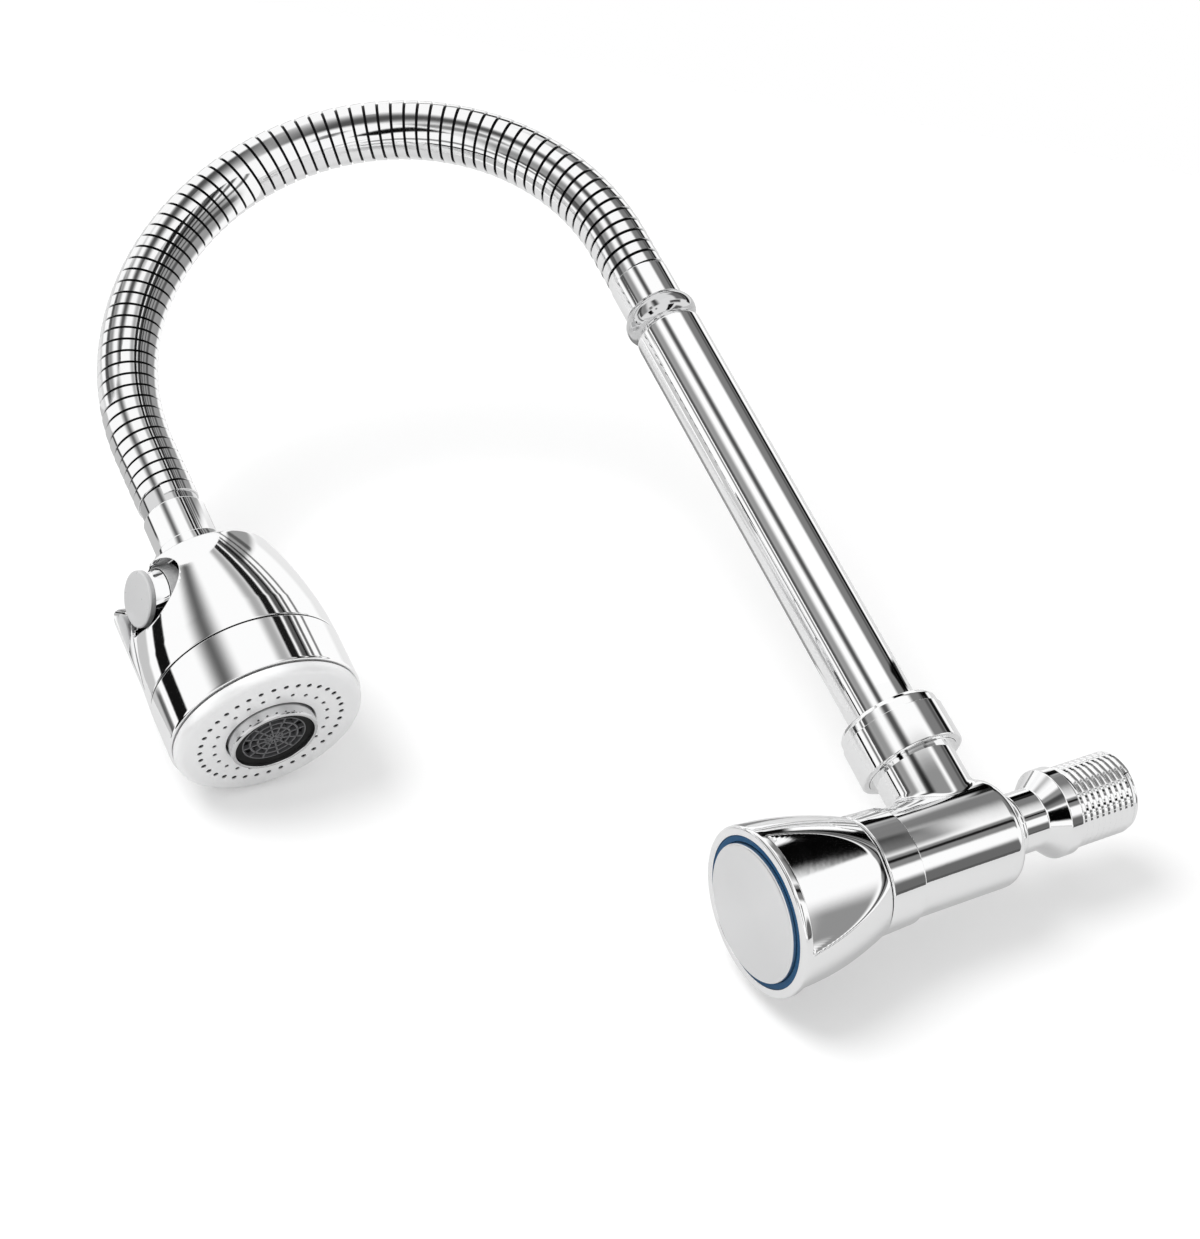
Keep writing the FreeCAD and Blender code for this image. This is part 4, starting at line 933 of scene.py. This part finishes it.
def hosePoint(run):
    # a point of the hose's centre line in the row frame
    bend = places["archRadius"]
    angle = min(max(run / bend, 0), pi)
    lean = max(run - pi * bend, 0) / leanRadius
    return spoutPlace @ Vector((leanRadius * (1 - cos(lean)), bend * cos(angle) - bend,
                                places["archHeight"] + bend * sin(angle) + min(run, 0)
                                - leanRadius * sin(lean)))


def hosePieces():
    s = hose
    pitch = (s["end"] - s["start"]) / (s["turns"] + 1)
    step = pi * places["archRadius"] / s["links"]
    cuts = [0] + [round((k * step - s["start"]) / pitch) for k in range(s["links"] + 1)] + [s["turns"]]
    bodies = ["spout"] + ["hose_link_%d" % k for k in range(2, s["links"] + 2)]
    for k in range(len(cuts) - 1):
        mesh = wound("hoseRibs", "hoseSteel", s, s["start"], firstTurn=cuts[k], turns=cuts[k + 1] - cuts[k],
                     archRadius=places["archRadius"], archHeight=places["archHeight"],
                     leanRadius=leanRadius)
        ends = {0: bodies[0], len(cuts) - 2: bodies[-1]}
        piece = addPiece("hoseRibs%d" % (k + 1), mesh, spoutPlace, "hoseSteel", ends.get(k), (), 60)
        if k not in ends:
            joint = step * (k - 0.5)
            hosePoint(joint - 8)
            hosePoint(joint + 8)
            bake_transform(piece)
        if k < 9:
            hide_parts("hose_section_%d" % (k + 1))


hosePieces()
print("hose made")

neck = {"tube": 8.4, "top": 70.8, "ferrule": 7.6, "ferruleHeight": 5.2, "flange": 9.7,
        "crown": 54.4, "crownRadius": 10.4, "collarTop": 9.8, "collarHeight": 4.2}


def neckPieces():
    s = neck
    turned("headNeck", headPlace, "chromedPlastic", "head", ["head_neck"], [
        (4.6, 50.65), (s["flange"], 50.65), (s["flange"], 52.18), (s["tube"], 52.18),
        (s["tube"], s["top"], 0.5), (4.6, s["top"])])
    high = s["crown"] + s["collarHeight"]
    turned("trimCollar", headPlace, "chromedPlastic", "head", ["trim_collar"], [
        (8.5, s["crown"] + 0.05), (s["crownRadius"], s["crown"] + 0.05, 0.25), (s["collarTop"], high, 0.4),
        (8.5, high)])
    low = s["top"] + 0.15
    high = low + s["ferruleHeight"]
    turned("lowerFerrule", tipPlace, "bareSteel", "hose_link_9", ["lower_ferrule"], [
        (4.4, low), (s["ferrule"], low, 0.2), (s["ferrule"], high, 0.3), (7.3, high), (7.3, low + 0.6),
        (4.4, low + 0.6)])


neckPieces()

bell = {
    "face": 3.4, "seam": 17.0, "gap": 0.4, "radius": 25.2, "inner": 23.3, "wall": 1.7,
    "waist": (24.9, 23.5), "curve": 110.0,
    "shoulder": (19.2, 49.65), "round": 1.6, "crown": (10.4, 54.4), "roof": 52.2, "hole": 8.5,
    "pocketRadius": 8.9, "pocketStart": (0.7, 42.9), "pocketEnd": (6.4, 40.6), "pocketBack": 12.2,
    "pocketFront": 32.0, "hoodFront": 25.0, "hoodLeft": -10.8, "hoodRight": -8.3, "hoodBase": 22.0,
    "hoodTop": 48.0, "hoodRound": 3.0, "slabMiddle": (-20.0, 36.0), "slabSize": (16.0, 30.0),
}


def pocketTool():
    # a slanted slot with round ends that runs out through the front
    s = bell
    a, b = Vector(s["pocketStart"]), Vector(s["pocketEnd"])
    way = atan2((b - a).y, (b - a).x)
    outline = []
    for centre, first in ((b, way - pi / 2), (a, way + pi / 2)):
        outline += [(centre.x + s["pocketRadius"] * cos(first + pi * k / 48),
                     centre.y + s["pocketRadius"] * sin(first + pi * k / 48)) for k in range(49)]
    middle = sum((Vector(p) for p in outline), Vector((0, 0))) / len(outline)
    near, far = -s["pocketBack"], -s["pocketFront"]
    return skinned([[(middle.x, near, middle.y)], [(x, near, z) for x, z in outline],
                    [(x, far, z) for x, z in outline], [(middle.x, far, middle.y)]], closed=False)


def hoodLip():
    # the upright lip beside the button, cut from a turned ring so that it follows the shell
    s = bell
    hoop = lathe([(23.4, s["hoodBase"]), (s["hoodFront"], s["hoodBase"]),
                  (s["hoodFront"], s["hoodTop"], s["hoodRound"]), (17.6, s["hoodTop"])], 256)
    slab = bmesh.new()
    middle = ((s["hoodLeft"] + s["hoodRight"]) / 2, *s["slabMiddle"])
    size = (s["hoodRight"] - s["hoodLeft"], *s["slabSize"], 1)
    bmesh.ops.create_cube(slab, size=1.0, matrix=Matrix.Translation(middle) @ Matrix.Diagonal(size))
    return softEdges(carve(hoop, slab, "INTERSECT"), 0.3)


def shellPieces():
    s = bell
    low = s["seam"] + s["gap"]
    turned("lowerShell", headPlace, "chromedPlastic", "head", ["lower_shell"], [
        (s["inner"], s["face"]), (s["radius"], s["face"], 0.6), (s["radius"], s["seam"], 0.25),
        (s["inner"], s["seam"])], 192)
    inner = (s["shoulder"][0] - s["wall"] * 1.35, s["shoulder"][1] - s["wall"] * 1.25)
    waist = (s["waist"][0] - s["wall"], s["waist"][1])
    outline = ([(s["radius"] - s["wall"], low), (s["radius"], low, 0.25), s["waist"]]
               + arcPoints(s["waist"], s["shoulder"], s["curve"], 1, 28)
               + [(*s["shoulder"], s["round"]), s["crown"], (s["hole"], s["crown"][1]),
                  (s["hole"], s["roof"]), (s["crown"][0], s["roof"]), inner]
               + arcPoints(inner, waist, s["curve"], -1, 10) + [waist])
    shell = carve(lathe(outline, 256), pocketTool())
    addPiece("upperShell", joined(softEdges(shell, 0.38, 50), hoodLip()), headPlace, "chromedPlastic", "head",
             ["upper_shell"])


shellPieces()
print("shells made")

plate = {"radius": 24.5, "thickness": 2.85, "fillet": 1.9, "hole": 11.8, "rings": ((18.6, 36), (14.9, 24)),
         "pin": 0.70, "inner": 0.82, "fit": 0.98, "sides": 16, "columns": 180}


def facePlate():
    s = plate
    shape = lathe([(s["hole"], 0, 0.3), (s["radius"], 0, s["fillet"]), (s["radius"], s["thickness"]),
                   (s["hole"], s["thickness"])], s["columns"])
    liners = bmesh.new()
    for size, (radius, count) in zip((1, s["inner"]), s["rings"]):
        pins, rubber = [evaluated("nozzles", nozzleRing, count=count, ringRadius=radius, low=low, high=high,
                                  pinRadius=s["pin"] * size * fit, sides=s["sides"])
                        for fit, low, high in ((1, -1.0, 4.0), (s["fit"], 0.22, 2.6))]
        shape = carve(shape, pins)
        liners.from_mesh(rubber)
    addPiece("facePlate", shape, headPlace, "satinGrey", "head", ["face_plate"])
    addPiece("nozzleRubber", liners, headPlace, "hoseRubber", "head")


facePlate()

outlet = {"radius": 11.4, "lip": 10.35, "rim": 8.35, "front": -3.0, "meshTop": -1.9,
          "meshHeight": 1.1, "rings": 4, "spokes": 12, "step": 2.0, "wall": 0.42, "wellFront": -2.0}


def outletPieces():
    s = outlet
    turned("outletRing", headPlace, "bareSteel", "head", ["aerator_housing"], [
        (s["lip"], s["front"], 0.25), (s["radius"], s["front"], 0.7), (s["radius"], 7.0),
        (s["lip"] + 0.05, 7.0), (s["lip"], s["front"] + 0.8)], 192)
    mesh = evaluated("outletStrainer", strainer, rings=s["rings"], spokes=s["spokes"], step=s["step"],
                     outerRadius=s["rim"] - 0.1, wall=s["wall"], height=s["meshHeight"],
                     material=finishes["blackPlastic"])
    mesh.transform(Matrix.Translation((0, 0, s["meshTop"] + s["meshHeight"] / 2)))
    addPiece("outletStrainer", mesh, headPlace, "strainerGrey", "head", ["aerator_insert"], 40)
    edge = s["lip"] - 0.03
    turned("outletWell", headPlace, "blackPlastic", "head", (), [
        (0, -0.7), (s["rim"], -0.7), (s["rim"], s["wellFront"], 0.15), (edge, s["wellFront"], 0.1),
        (edge, -0.3), (0, -0.3)], 96)


outletPieces()

button = {"spool": 4.1, "back": -8.5, "neck": 5.7, "skirt": 7.4, "skirtBack": 14.85, "sleeve": 7.55,
          "sleeveBack": 8.75, "floor": 11.3, "face": 20.6, "cap": 7.3, "capThickness": 1.8}


def buttonPieces():
    s = button
    low = s["face"] - s["capThickness"]
    # the skirt widens inwards, and a fixed sleeve carries the slope on to the pocket's floor
    turned("buttonHub", buttonPlace, "chromedPlastic", "button", ["diverter_button"], [
        (0, s["back"]), (s["spool"], s["back"]), (s["spool"], 16.8), (5.2, 16.8),
        (s["skirt"] - 0.7, s["skirtBack"]), (s["skirt"], s["skirtBack"], 0.12), (s["neck"], low, 0.2),
        (0, low)], 96)
    high = s["skirtBack"] - 0.05
    turned("buttonSleeve", buttonPlace, "capGrey", "head", (), [
        (s["sleeve"], s["floor"]), (s["sleeveBack"], s["floor"]), (s["sleeve"] + 0.25, high, 0.1),
        (s["sleeve"], high)], 96)
    turned("buttonCap", buttonPlace, "capGrey", "button", ["button_cap"], [
        (0, low + 0.02), (s["cap"], low + 0.02, 0.3), (s["cap"], s["face"], 0.5), (0, s["face"])])


buttonPieces()
print("head made")

insides = {
    "bareBrass": ("cartridge_housing", "spindle", "riser_tail", "hose_nipple", "hose_plug"),
    "sealRubber": ("cartridge_seal", "spindle_o_rings", "tail_o_rings", "spool_o_rings", "aerator_washer",
                   "face_gasket"),
    "ceramic": ("fixed_ceramic_disc", "moving_ceramic_disc"),
    "springSteel": ("spindle_circlip", "knob_screw"),
    "slipNylon": ("nut_slip_ring",), "innerPlastic": ("spray_core",),
    "hoseRubber": ["inner_tube_%d" % (k + 1) for k in range(9)],
}
for finish, nodes in insides.items():
    for node in nodes:
        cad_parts[node].data.materials.clear()
        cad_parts[node].data.materials.append(finishes[finish])
print("inner pieces finished")
